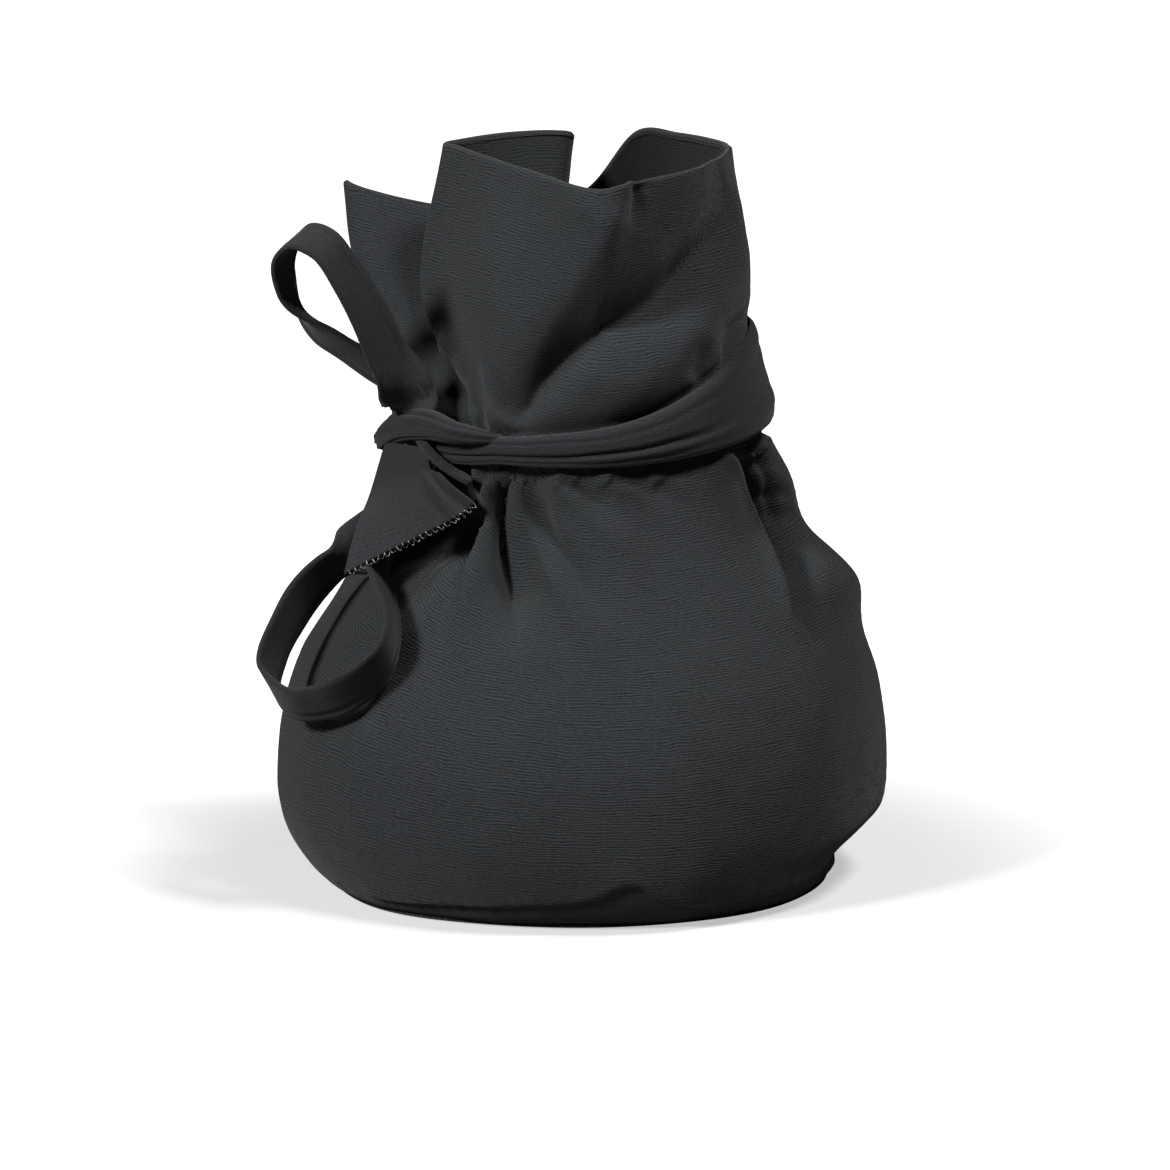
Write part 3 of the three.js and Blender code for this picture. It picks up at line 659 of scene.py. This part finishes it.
def cotton_rep(name, dark, light, rib_height, rib_share=1.0):
    """Cotton rep: fine ribs from thick filling yarns that the closely set warp wraps over, which gives the
    eye dotted lines, with slight streaks where a yarn runs thick and a soft fibrous bloom. The share says
    how clearly the ribs stand out from the fibres."""
    material, tree = blank_material(name)
    threads = add_node(tree, "ShaderNodeUVMap", {"uv_map": "threads"}).outputs[0]
    parts = add_node(tree, "ShaderNodeSeparateXYZ", None, {0: threads})
    u, v = parts.outputs[0], parts.outputs[1]

    def threads_noise(along, across, detail):
        at = {0: maths(tree, "MULTIPLY", u, along), 1: maths(tree, "MULTIPLY", v, across)}
        place = add_node(tree, "ShaderNodeCombineXYZ", None, at).outputs[0]
        made = {"Vector": place, "Scale": 1.0, "Detail": detail, "Roughness": 0.6}
        return add_node(tree, "ShaderNodeTexNoise", None, made).outputs[0]

    wander = maths(tree, "MULTIPLY_ADD", threads_noise(*WANDER), RIB_WANDER, v)
    ribs = maths(tree, "MULTIPLY", wander, 1 / RIB_PITCH)
    rib_wave = maths(tree, "SINE", maths(tree, "MULTIPLY", ribs, 2 * math.pi))
    patches = threads_noise(*PATCHES)
    clear = maths(tree, "MULTIPLY_ADD", patches, 1.2 * rib_share, -0.28 * rib_share)
    rib = maths(tree, "MULTIPLY_ADD", rib_wave, clear, 0.5)
    shifted = maths(tree, "MULTIPLY", maths(tree, "FLOOR", maths(tree, "ADD", ribs, 0.25)), 0.5)
    cross = maths(tree, "ADD", maths(tree, "MULTIPLY", u, 1 / CROSS_PITCH), shifted)
    cross_wave = maths(tree, "SINE", maths(tree, "MULTIPLY", cross, 2 * math.pi))
    dots = maths(tree, "MULTIPLY_ADD", cross_wave, DOT_DEPTH, 1 - DOT_DEPTH)
    height = maths(tree, "MULTIPLY", rib, dots)
    for grain, weight in ((FUZZ, 0.8), (STREAKS, 0.7)):
        height = maths(tree, "MULTIPLY_ADD", threads_noise(*grain), weight, height)
    tone = add_node(tree, "ShaderNodeMapRange", None, {"Value": height, "From Min": 0.65, "From Max": 1.6})
    cloth = {"Base Color": between(tree, tone.outputs[0], dark, light), "Roughness": 0.92}
    cloth.update({"Specular IOR Level": 0.2, "Sheen Weight": 0.1, "Sheen Roughness": 0.5})
    surface(tree, {"Strength": 1.0, "Distance": rib_height * MM, "Height": height}, cloth)
    return material


def finish_with(piece, material, slot, body, *nodes):
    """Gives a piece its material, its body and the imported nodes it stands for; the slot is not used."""
    piece.data.materials.clear()
    piece.data.materials.append(material)
    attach(piece, body)
    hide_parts(*nodes)
    return piece


# The bag


def thread_map(net, places):
    """Ribs run round the bag, level with its base and its rim, so v follows each column's share of the
    cloth's height and u the cloth's width at the belly, both in millimetres."""
    belly = cloth_points(places, [0.25])[0]
    lengths = running_length(net)
    return threads_of(running_length(belly), lengths / lengths[-1] * lengths[-1].mean())


# The rim's roll and how far it runs on inside, the lining's top level, and the wall's last rows: out and up
ROLL_RADIUS = 0.95
TONGUE = 0.8
UNDER_RIM = 2.99
TO_THE_BASE = ((-0.1, 0.7), (-0.8, 0.3))


def rolled_rim(points, inside):
    """Rows that turn the outer cloth over the rim and a little way down inside."""
    up = unit(points[-1] - points[-2])
    into = unit(inside[-1] - points[-1])
    rows = []
    for turn in np.linspace(0, math.pi, 7)[1:]:
        rise = ROLL_RADIUS * math.sin(turn)
        depth = ROLL_RADIUS * (1 - math.cos(turn))
        rows.append(points[-1] + up * rise + into * depth)
    for down in np.linspace(0, TONGUE, 3)[1:]:
        rows.append(points[-1] - up * down + into * 2 * ROLL_RADIUS)
    return np.array(rows)


def tucked_edge(points):
    """Rows that carry the wall down to the seam with the base."""
    outwards = unit((points[0] + (BASE_LEFT, BASE_FORWARD, 0)) * (1, 1, 0))
    return np.array([points[0] * (1, 1, 0) + outwards * out + (0, 0, z) for out, z in TO_THE_BASE[::-1]])


def outer_panel(name, net, inside, uv):
    low = tucked_edge(net)
    rim = rolled_rim(net, inside)
    points = np.concatenate([low, net, rim])
    steps = np.linalg.norm(np.diff(points, axis=0), axis=-1)
    below = uv[:1, :, 1] - np.cumsum(steps[len(low) - 1:: -1], axis=0)[::-1]
    beyond = uv[-1:, :, 1] + np.cumsum(steps[len(low) + len(net) - 1:], axis=0)
    rows = [threads_of(uv[:1, :, 0], v) for v in (below, uv[..., 1], beyond)]
    return cloth_sheet(name, points, np.concatenate(rows))


def lining_panel(name, inside, uv, levels):
    top = np.searchsorted(levels, UNDER_RIM) - 1
    rows = np.append(np.arange(0, top, LINING_COARSER), top)
    columns = np.append(np.arange(inside.shape[1] - 1, 0, -LINING_COARSER), 0)
    picked = np.ix_(rows, columns)
    return cloth_sheet(name, inside[picked], uv[picked])


def split_at_seam(values, places):
    """The front and the back panel's columns, which meet at the right seam."""
    seam = column_at(places, RIGHT_SEAM)
    return values[:, : seam + 1], values[:, seam:]


# The discs of the base: the innermost ring's radius, the points round a ring, and how far the edge bends up
DISC_MIDDLE = 0.5
DISC_POINTS = 144
EDGE_LIFT = 0.35


def closed_disc(name, radius, bottom, shows_below):
    """A round panel of the base with its thickness, its threads running straight across."""
    inner = np.linspace(DISC_MIDDLE, radius - 2, 26)
    rings = np.concatenate([inner, np.linspace(radius - 1.2, radius, 4)])[:, None]
    turns = np.linspace(0, 2 * math.pi, DISC_POINTS, endpoint=False)
    reach = rings + base_corners(np.degrees(turns) + 90, 0) * (rings / radius) ** 3
    edge = EDGE_LIFT * smooth_step(radius - 1.5, radius, rings) * np.ones_like(reach)
    z = bottom + edge if shows_below else bottom + CLOTH - edge
    points = np.stack([reach * np.cos(turns) - BASE_LEFT, reach * np.sin(turns) - BASE_FORWARD, z], axis=-1)
    faces = tube_faces(*reach.shape)[:-1]
    if not shows_below:
        faces = [face[::-1] for face in faces]
    flat = points.reshape(-1, 3)
    return thicken(make_piece(name, flat, faces, flat[:, :2]), CLOTH)


# The tie


# Left of the front the band runs on under the knot, as azimuth, lowest and highest height
BAND_END = [(-55, 119.8, 121.4), (-52, 118.4, 122.4), (-48, 117, 122.9), (-44, 116.6, 123.2),
            (-36, 116.9, 124.2), (KNOT_TO, 118, 125.5)]
# How far its other end runs on under the wrap, in degrees, and the heights it narrows to there
UNDER_WRAP = 14
WRAPPED_END = (117.6, 121.6)
BAND_COLUMNS = 312
BAND_ROWS = 25
# Lengthwise folds: share of the height, way they wander, width, depth, and share lost where the band is flat
BAND_FOLDS = ((0.36, 1, 0.05, 0.62, 0.85), (0.14, -1, 0.04, 0.3, 0.6), (0.76, -1, 0.05, 0.14, 0))
# How far the band's lower part stands out where it is flat, its place and its reach
BAND_FLARE = (2.6, 0.16, 0.3)
# How far the threads of a piece's back lie from those of its front, so that the two don't repeat
BAND_BACK = 40
STRAP_BACK = 20


def neck_band():
    """The folded strip round the neck: rolled up with lengthwise creases at the front, flat at the right."""
    other_end = KNOT_FROM + 360
    heights = np.linspace(0, 1, BAND_ROWS)
    edge = (1 - np.abs(2 * heights - 1) ** 4) ** 0.5
    flared, flare_place, flare_reach = BAND_FLARE
    ends, lows, highs = zip(*BAND_END)
    rows = []
    uv = []
    for azimuth in np.linspace(BAND_END[0][0], other_end + UNDER_WRAP, BAND_COLUMNS):
        flat = spread(azimuth)
        level = min(azimuth, other_end - TIE_GAP)
        under = smooth_step(other_end - 8, other_end + UNDER_WRAP, azimuth)
        low = mix(band_low(level), WRAPPED_END[0], under)
        high = mix(band_high(level), WRAPPED_END[1], under)
        if azimuth < KNOT_TO:
            low, high = np.interp(azimuth, ends, lows), np.interp(azimuth, ends, highs)
        wave = 0.012 * math.sin(azimuth / 9) + 0.008 * math.sin(azimuth / 3.7)
        full = edge
        for place, way, width, depth, lost in BAND_FOLDS:
            full = full - depth * bell(heights - place - way * wave, width) * (1 - lost * flat)
        shrink = 0.25 + 0.75 * smooth_step(BAND_END[0][0], BAND_END[2][0], azimuth) - 0.6 * under
        out = BAND_THICKNESS * shrink * np.clip(full, 0.1, 1)
        z = mix(low, high, heights)
        inside = waist_radius(azimuth, z) + TIE_GAP
        flare = flared * flat**2 * bell(heights - flare_place, flare_reach)
        front = polar(azimuth, inside + out + flare, z)
        back = polar(azimuth, inside[1:-1], z[1:-1])[::-1]
        rows.append(np.concatenate([front, back]))
        across = np.concatenate([z, z[1:-1][::-1] + BAND_BACK])
        uv.append(threads_of(math.radians(azimuth) * NECK_RADIUS, across))
    return loft("tie_round_neck", np.array(rows), np.array(uv))


OUT = polar((KNOT_FROM + KNOT_TO) / 2, 1, 0)
ASIDE = polar((KNOT_FROM + KNOT_TO) / 2 + 90, 1, 0)
KNOT_RADIUS = NECK_RADIUS + TIE_GAP + KNOT_DEPTH / 2
PLY = STRAP_THICKNESS + TIE_GAP + 0.4


def from_knot(out, aside, up):
    """A point that far out from the knot's middle, to its right and up."""
    return OUT * (KNOT_RADIUS + out) + ASIDE * aside + (0, 0, KNOT_MIDDLE + up)


# The strip wound over the knot: azimuth, height of its middle, half its height, middle radius, half its depth
WRAP = [
    (-81.5, 118, 1.6, 51.6, 1.5), (-79, 118.1, 2.6, 52, 2.9), (-76, 118.7, 3.2, 52.2, 3.8),
    (-72, 120.4, 3.6, 52.2, 4), (-67, 122.9, 3.9, 52.2, 4), (-61, 125.1, 4.2, 52.2, 3.9),
    (-54, 126.5, 4.2, 52.4, 3.7), (-46, 127.1, 3.7, 52.9, 3), (-39, 126.4, 2.8, 52.9, 2.6),
    (-33, 125.6, 2.2, 50.7, 2.2), (-29, 125, 1.6, 48.4, 1.5), (-26, 124.6, 1, 47, 1),
]
# The tie's rolled edge that comes out under the wrap and ends at the flap: azimuth, height, radius, thickness
ROLLED_EDGE = [
    (-55, 122, 51.5, 1), (-50.5, 121.2, 53, 1.2), (-45, 118.6, 53.4, 1.25), (-40, 116, 52.6, 1.2),
    (-36, 114.2, 51.6, 1.25), (-34.4, 113.5, 51.2, 1.1), (-33.9, 113.3, 51, 0.5),
]


# A roll's points round its section, and the power that makes the section a rounded box
TUBE_SIDES = 44
SQUARENESS = 0.8


def rounded_tube(name, centres, halves_up, halves_out, grooves):
    """A soft roll along a line of points: its section is a rounded box with lengthwise grooves."""
    turns = np.linspace(0, 2 * math.pi, TUBE_SIDES, endpoint=False)
    tangent = unit(np.gradient(centres, axis=0))
    outwards = square_to(unit(centres * (1, 1, 0)), tangent)
    up = np.cross(outwards, tangent)
    up = up * np.sign(up[:, 2:])
    length = running_length(centres)
    share = (length / length[-1])[:, None]
    body = np.ones((len(centres), TUBE_SIDES))
    for start, drift, depth, width in grooves:
        away = (turns[None] - start - drift * share + math.pi) % (2 * math.pi) - math.pi
        body -= depth * bell(away, width)
    boxed = [np.sign(part) * np.abs(part) ** SQUARENESS for part in (np.cos(turns), np.sin(turns))]
    across = boxed[0] * body * halves_out[:, None]
    rise = boxed[1] * body * halves_up[:, None]
    points = centres[:, None] + outwards[:, None] * across[..., None] + up[:, None] * rise[..., None]
    uv = threads_of(length[:, None], turns * halves_up.max())
    return loft(name, points, uv), float(length[-1])


def along_the_neck(table, count):
    """Smooth values between a table's rows."""
    return spline(np.array(table, float), np.linspace(0, 1, count))


def knot():
    """The strip wound over itself, with the lengthwise folds that the pull gives it."""
    azimuth, z, half_up, radius, half_out = along_the_neck(WRAP, 110).T
    centres = polar(azimuth, radius, z)
    grooves = [(0.55, 0.5, 0.16, 0.17), (1.15, -0.5, 0.12, 0.14), (-0.45, 0.5, 0.16, 0.18),
               (-1.1, 0.3, 0.1, 0.15), (0.05, -0.3, 0.07, 0.12)]
    wrap, length = rounded_tube("tie_knot", centres, half_up, half_out, grooves)
    azimuth, z, radius, half = along_the_neck(ROLLED_EDGE, 60).T
    centres = polar(azimuth, radius, z)
    edge, _ = rounded_tube("tie_rolled_edge", centres, half, half, [(0.4, 0.6, 0.2, 0.25)])
    return joined(wrap, edge), length


def joined(first, second):
    """Two meshes as one piece."""
    select_only(first)
    second.select_set(True)
    bpy.ops.object.join()
    first.select_set(False)
    return first


def turning(shares, directions):
    """The direction of a strap's width at each share of its length."""
    marks = np.array([mark for mark, _ in directions])
    found = []
    for share in shares:
        i = int(np.clip(np.searchsorted(marks, share, side="left") - 1, 0, len(marks) - 2))
        t = smooth_step(marks[i], marks[i + 1], share)
        found.append(mix(np.array(directions[i][1]), np.array(directions[i + 1][1]), t))
    return np.array(found)


# Across a strap: its points, the power of its round edges, and its grooves' place, width and depth
STRAP_POINTS = 17
STRAP_ROUNDING = 6
STRAP_GROOVES = ((-0.5, 0.07, 0.42), (0.68, 0.08, 0.16))


def strap(name, points, directions, steps):
    """A strip folded double: soft round edges, and a faint groove where the folded edges meet inside."""
    shares = np.linspace(0, 1, steps)
    middle = spline(points, shares)
    tangent = unit(np.gradient(middle, axis=0))
    side = square_to(turning(shares, directions), tangent)
    face = unit(np.cross(side, tangent))
    place = np.linspace(-1, 1, STRAP_POINTS)
    groove = 1
    for spot, width, depth in STRAP_GROOVES:
        groove = groove - depth * bell(place - spot, width)
    thick = (1 - np.abs(place) ** STRAP_ROUNDING) ** 0.5 * groove
    across = np.concatenate([place, place[1:-1][::-1]])
    out = np.concatenate([thick, -thick[1:-1][::-1]])
    length = running_length(middle)
    wave = 1 + 0.05 * np.sin(length / 6.5)[:, None]
    sections = (
        middle[:, None]
        + side[:, None] * (across[None, :, None] * LOOP_WIDTH / 2)
        + face[:, None] * (out[None, :, None] * STRAP_THICKNESS / 2 * wave[..., None])
    )
    uv = threads_of(length[:, None], across * LOOP_WIDTH / 2 + STRAP_BACK * (out < 0))
    return loft(name, sections, uv), float(length[-1])


def facing(turned, lift=0.2):
    """The way a strap's front edge points, turned so many degrees to the viewer's right from the front."""
    return (math.sin(math.radians(turned)), -math.cos(math.radians(turned)), lift)


def upper_loop():
    top = KNOT_HEIGHT / 2 + TIE_GAP
    points = [from_knot(*at) for at in (
        (PLY / 2, -1.6, top), (2.4, -1.3, top + 3), (5.4, -0.5, 13), (10.4, -0.2, 21.2), (15.8, -0.2, 31.8),
        (21.4, -1.8, 42), (26.8, -5.2, 51.2), (31, -9.5, 53), (33, -13.4, 48.8), (32, -15.4, 41.3),
        (27.4, -15.4, 32.8), (20.4, -13.2, 25), (13.7, -10.8, 20.1), (8.2, -8.4, 15.9), (2.2, -5.4, 11),
        (-PLY / 2, -4, top + 1.5), (-PLY / 2, -3.6, top),
    )]
    directions = [(0.02, facing(-126, 0)), (0.09, facing(-84, -0.3)), (0.18, facing(-40, -0.38)),
                  (0.36, facing(-26, -0.32)), (0.48, facing(-30, -0.28)), (0.57, facing(-18, -0.05)),
                  (0.7, facing(28, 0.34)), (0.82, facing(36, 0.36)), (0.95, facing(38))]
    return strap("upper_bow_loop", points, directions, 170)


def lower_loop():
    bottom = -KNOT_HEIGHT / 2 - KNOT_DIP / 2 - 4 * TIE_GAP
    root = ((0, -1.5, bottom), (0.2, -1.5, bottom - 3), (3.5, -6.5, bottom - 13))
    # azimuth, distance from the belly, height
    hanging = (
        (-64.6, 10.7, 91.8), (-66.9, 14.2, 87.5), (-68.1, 16.4, 80.8), (-68.1, 16.8, 73.6),
        (-67.4, 16.9, 66.2), (-65.8, 16.2, 60.6), (-62.8, 14.2, 56.8), (-59, 11.8, 55), (-54, 9.6, 56.2),
        (-48.6, 9.2, 59.5), (-43.6, 9.2, 65), (-41.2, 9.2, 70.9), (-41.8, 9.2, 75.9), (-44.8, 9.2, 80.6),
        (-49.5, 9.1, 85.1), (-55.5, 7.4, 90),
    )
    back = ((-0.8, -3.4, bottom - 15), (-PLY, -1.7, bottom - 3), (-PLY, -1.5, bottom))
    points = [from_knot(*at) for at in root]
    points += [polar(azimuth, bag_radius(z) + clear, z) for azimuth, clear, z in hanging]
    points += [from_knot(*at) for at in back]
    directions = [(0.07, -ASIDE), (0.2, facing(-48)), (0.33, facing(-32, 0.45)), (0.45, facing(-14, 1)),
                  (0.62, facing(-14, 1)), (0.86, facing(-18, 0.2)), (0.97, ASIDE)]
    return strap("lower_bow_loop", points, directions, 190)


# The flap's net, how far its end bulges, and the height of its bow, of its ridge at the right and of its
# faint fold
FLAP_ROWS = 71
FLAP_COLUMNS = 61
FLAP_BULGE = 2.2
FLAP_BOW = 0.5
FLAP_RIDGE = 0.9
FLAP_FAINT = 0.35


def flap_end_bow(across):
    """How far the flap's stitched end bulges, which it does most near its right corner."""
    return FLAP_BULGE * across**1.3 * (1 - across**14)


def tie_flap():
    """The raw end of the tie, opened out to the strip's full width, with its top tucked into the knot."""
    bottom = -KNOT_HEIGHT / 2 - KNOT_DIP / 2 - TIE_GAP
    left_edge = [from_knot(*at) for at in (
        (1.6, -13.2, bottom + 2.2), (PLY, -13.5, bottom), (PLY + 1.2, -13.2, bottom - 2.5),
        (10, -9.6, -18.2), (16, -6.4, -24.4), (24.1, -0.7, -35.2),
    )]
    right_edge = [from_knot(*at) for at in (
        (1.3, 5, bottom + 3.6), (PLY - 0.5, 6.3, bottom + 1), (PLY + 0.3, 8, bottom - 1),
        (3.4, 12.6, -9), (2.2, 16.4, -11.6), (-1.3, 21.3, -15.4),
    )]
    shares = np.linspace(0, 1, FLAP_ROWS)
    left = spline(left_edge, shares)[:, None]
    right = spline(right_edge, shares)[:, None]
    place = np.linspace(0, 1, FLAP_COLUMNS)[None, :]
    points = mix(left, right, place[..., None])
    normals = grid_normals(points[::-1], closed=False)[::-1]
    shares = shares[:, None]
    down = smooth_step(0.25, 0.8, shares)
    bow = FLAP_BOW * np.sin(math.pi * place) * np.sin(math.pi * shares)
    ridge = FLAP_RIDGE * bell(place - 0.85, 0.045) - FLAP_RIDGE * bell(place - 0.93, 0.035)
    faint = FLAP_FAINT * bell(place - 0.3 - 0.2 * shares, 0.08)
    points = points + normals * (bow + ridge * down - faint * down)[..., None]
    hang = unit(points[-1:] - points[-6:-5])
    points = points + hang * (flap_end_bow(place) * shares**3)[..., None]
    points = points[::-1]
    width = np.linalg.norm(right - left, axis=-1).max()
    uv = threads_of(place * width, shares[::-1] * running_length(left[:, 0])[-1])
    return thicken(cloth_sheet("tie_flap", points, uv), CLOTH), points


# The overlock thread: from stitch to stitch, the loop's radius, how far it lies in and down, its thickness
STITCH_PITCH = 1.75
STITCH_REACH = 0.75
STITCH_IN = 0.45
STITCH_DOWN = 0.4
THREAD_RADIUS = 0.13


def overlock(points):
    """The overlock stitches on the flap's raw end: one thread that loops over the edge again and again."""
    edge = points[0]
    lengths = running_length(edge)
    turns = np.arange(0, int(lengths[-1] / STITCH_PITCH) - 1, 1 / 16)
    at = (turns + 0.8) * STITCH_PITCH

    def sampled(values):
        return np.stack([np.interp(at, lengths, values[:, k]) for k in range(3)], axis=-1)

    base = sampled(edge)
    into = sampled(unit(points[3] - edge))
    out = sampled(grid_normals(points, closed=False)[0])
    phase = 2 * math.pi * turns
    stitch = np.floor(turns + 0.5)
    uneven = 1 + 0.28 * np.sin(2.9 * stitch) + 0.12 * np.sin(5.3 * stitch)
    reach = STITCH_REACH * uneven * np.cos(phase) - STITCH_IN
    lift = STITCH_REACH * np.sin(phase) - STITCH_DOWN
    path = base + into * reach[:, None] + out * lift[:, None]
    tangent = unit(np.gradient(path, axis=0))
    side = unit(np.cross(tangent, np.array([0.3, 0.2, 1.0])))
    up = np.cross(side, tangent)
    ring = np.linspace(0, 2 * math.pi, 6, endpoint=False)[None, :, None]
    sections = path[:, None] + THREAD_RADIUS * (side[:, None] * np.cos(ring) + up[:, None] * np.sin(ring))
    return loft("overlock_thread", sections, np.zeros(sections.shape[:2] + (2,)))


def thread_finish():
    """Spun polyester thread, finely twisted: its colour runs from dark grey to pale grey, with painted
    highlights as light dots for its slight shine.
    """
    material, tree = blank_material("overlock thread, spun polyester")
    place = add_node(tree, "ShaderNodeTexCoord").outputs["Object"]
    twist_size = {"Vector": place, "Scale": 1500.0, "Detail": 1.0}
    twist = add_node(tree, "ShaderNodeTexNoise", None, twist_size).outputs[0]
    painted_shine_dots = add_node(tree, "ShaderNodeMapRange", None, {"Value": twist, "From Min": 0.46, "From Max": 0.66})
    # Painted highlights: the colour follows the twist noise from dark grey to pale grey, and its pale dots
    # stand in for the thread's shine.
    colour = between(tree, painted_shine_dots.outputs[0], 0x232527, 0xB9BCBF)
    relief = {"Strength": 0.6, "Distance": 0.05 * MM, "Height": twist}
    surface(tree, relief, {"Base Color": colour, "Roughness": 0.45})
    return material


# Putting the pouch together
outer_rep = cotton_rep("charcoal cotton rep", 0x111314, 0x3E4144, 0.15)
# The lining is the same rep as the outer cloth, its tones set darker as painted shade for the pouch's inside.
lining_rep_painted_shade = cotton_rep("charcoal cotton rep, lining, painted shade", 0x0E1011, 0x303335, 0.14)
tie_rep = cotton_rep("charcoal cotton rep, tie", 0x101213, 0x37393C, 0.11, 0.3)

outside, inside, threads, places, levels = shaped_cloth()
HALVES = (
    ("front", "outer_front_panel", "lining_front_panel"),
    ("back", "outer_back_panel", "lining_back_panel"),
)
for part, (half, outer_node, lining_node) in enumerate(HALVES):
    outer, behind, uv = (split_at_seam(values, places)[part] for values in (outside, inside, threads))
    panel = outer_panel(half + "_panel", outer, behind, uv)
    finish_with(panel, outer_rep, "outer_cloth", "pouch", outer_node)
    lining = lining_panel(half + "_lining", behind, uv, levels)
    finish_with(lining, lining_rep_painted_shade, "lining_cloth", "pouch", lining_node)

base = closed_disc("base_panel", BASE_RADIUS, 0, True)
finish_with(base, outer_rep, "outer_cloth", "pouch", "outer_base_panel")
base_lining = closed_disc("base_lining", BASE_RADIUS - BASE_INSET, LINING_DEPTH, False)
finish_with(base_lining, lining_rep_painted_shade, "lining_cloth", "pouch", "lining_base_panel")

band = finish_with(neck_band(), tie_rep, "tie_cloth", "pouch", "neck_band")
wrap, wrap_length = knot()
finish_with(wrap, tie_rep, "tie_cloth", "pouch", "bow_knot")
upper, upper_length = upper_loop()
finish_with(upper, tie_rep, "tie_cloth", "upper_loop", "bow_upper_loop")
lower, lower_length = lower_loop()
finish_with(lower, tie_rep, "tie_cloth", "lower_loop", "bow_lower_loop")
flap, flap_points = tie_flap()
finish_with(flap, tie_rep, "tie_cloth", "tail", "tie_tail")
stitches = overlock(flap_points)
stitches.data.materials.append(thread_finish())
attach(stitches, "tail")


# Studio


# The light from all round, the white that the camera sees, and the floor: its size, its grey in bounced
# light and as seen, and its own light, which grows from the pouch outwards between two distances
AMBIENT = 0.015
SEEN_WHITE = 1.05
FLOOR_SIZE = 12
FLOOR_BOUNCE = 0x707070
FLOOR_SEEN = 0xB4B4B4
FLOOR_LIFT = 0.5
LIFT_FROM = 0.085
LIFT_TO = 0.2


def camera_share(tree):
    """1 where the camera looks straight at a surface and 0 for light that bounces."""
    return add_node(tree, "ShaderNodeLightPath").outputs["Is Camera Ray"]


def floor():
    """White paper, lifted towards white as the overexposed backdrop is, so that shadows stay faint."""
    bpy.ops.mesh.primitive_plane_add(size=FLOOR_SIZE, location=(0, 0, 0))
    plane = bpy.context.active_object
    plane.name = "studio_floor"
    material = bpy.data.materials.new("white studio paper")
    material.use_nodes = True
    tree = material.node_tree
    shader = tree.nodes["Principled BSDF"]
    shader.inputs["Roughness"].default_value = 0.9
    shader.inputs["Emission Color"].default_value = linear(0xFFFFFF)
    looked_at = camera_share(tree)
    tree.links.new(between(tree, looked_at, FLOOR_BOUNCE, FLOOR_SEEN), shader.inputs["Base Color"])
    place = add_node(tree, "ShaderNodeTexCoord").outputs["Object"]
    away = add_node(tree, "ShaderNodeVectorMath", {"operation": "LENGTH"}, {0: place}).outputs["Value"]
    reach = {"Value": away, "From Min": LIFT_FROM, "From Max": LIFT_TO, "To Min": FLOOR_LIFT, "To Max": 1.0}
    lift = add_node(tree, "ShaderNodeMapRange", {"interpolation_type": "SMOOTHSTEP"}, reach).outputs[0]
    tree.links.new(maths(tree, "MULTIPLY", looked_at, lift), shader.inputs["Emission Strength"])
    plane.data.materials.append(material)


POUCH_MIDDLE = Vector((0, 0, 0.1))


def soft_light(name, place, size, power):
    """A square softbox that faces the middle of the pouch."""
    data = bpy.data.lights.new(name, "AREA")
    data.size = size
    data.energy = power
    lamp = bpy.data.objects.new(name, data)
    bpy.context.scene.collection.objects.link(lamp)
    lamp.location = place
    lamp.rotation_euler = (POUCH_MIDDLE - Vector(place)).to_track_quat("-Z", "Y").to_euler()


# The camera: its distance and target in millimetres, and how many degrees it looks down
CAMERA_DISTANCE = 3500
CAMERA_TARGET = (1, 0, 77)
CAMERA_HEIGHT_ANGLE = 12
PICTURE_PIXELS = 1170
PIXELS_PER_MM = 3.8
SENSOR = 36


def camera():
    """A long lens from the front, a little above the pouch, as in the photograph."""
    data = bpy.data.cameras.new("front camera")
    data.sensor_width = SENSOR
    data.lens = SENSOR * CAMERA_DISTANCE * PIXELS_PER_MM / PICTURE_PIXELS
    data.clip_end = 100
    seen = bpy.data.objects.new("front camera", data)
    bpy.context.scene.collection.objects.link(seen)
    tilt = math.radians(CAMERA_HEIGHT_ANGLE)
    towards = Vector((0, -math.cos(tilt), math.sin(tilt)))
    seen.location = Vector(CAMERA_TARGET) * MM + towards * CAMERA_DISTANCE * MM
    seen.rotation_euler = (math.radians(90) - tilt, 0, 0)
    bpy.context.scene.camera = seen


floor()
soft_light("key from the left", (-1.36, -1.33, 1.22), 0.35, 45)
soft_light("soft light from the upper right", (0.86, -0.55, 1.98), 0.5, 34)
camera()
world = bpy.data.worlds.new("studio")
bpy.context.scene.world = world
world.use_nodes = True
backdrop = world.node_tree.nodes["Background"]
backdrop.inputs["Color"].default_value = (1, 1, 1, 1)
seen = maths(world.node_tree, "MULTIPLY_ADD", camera_share(world.node_tree), SEEN_WHITE - AMBIENT, AMBIENT)
world.node_tree.links.new(seen, backdrop.inputs["Strength"])
bpy.context.scene.view_settings.view_transform = "Standard"
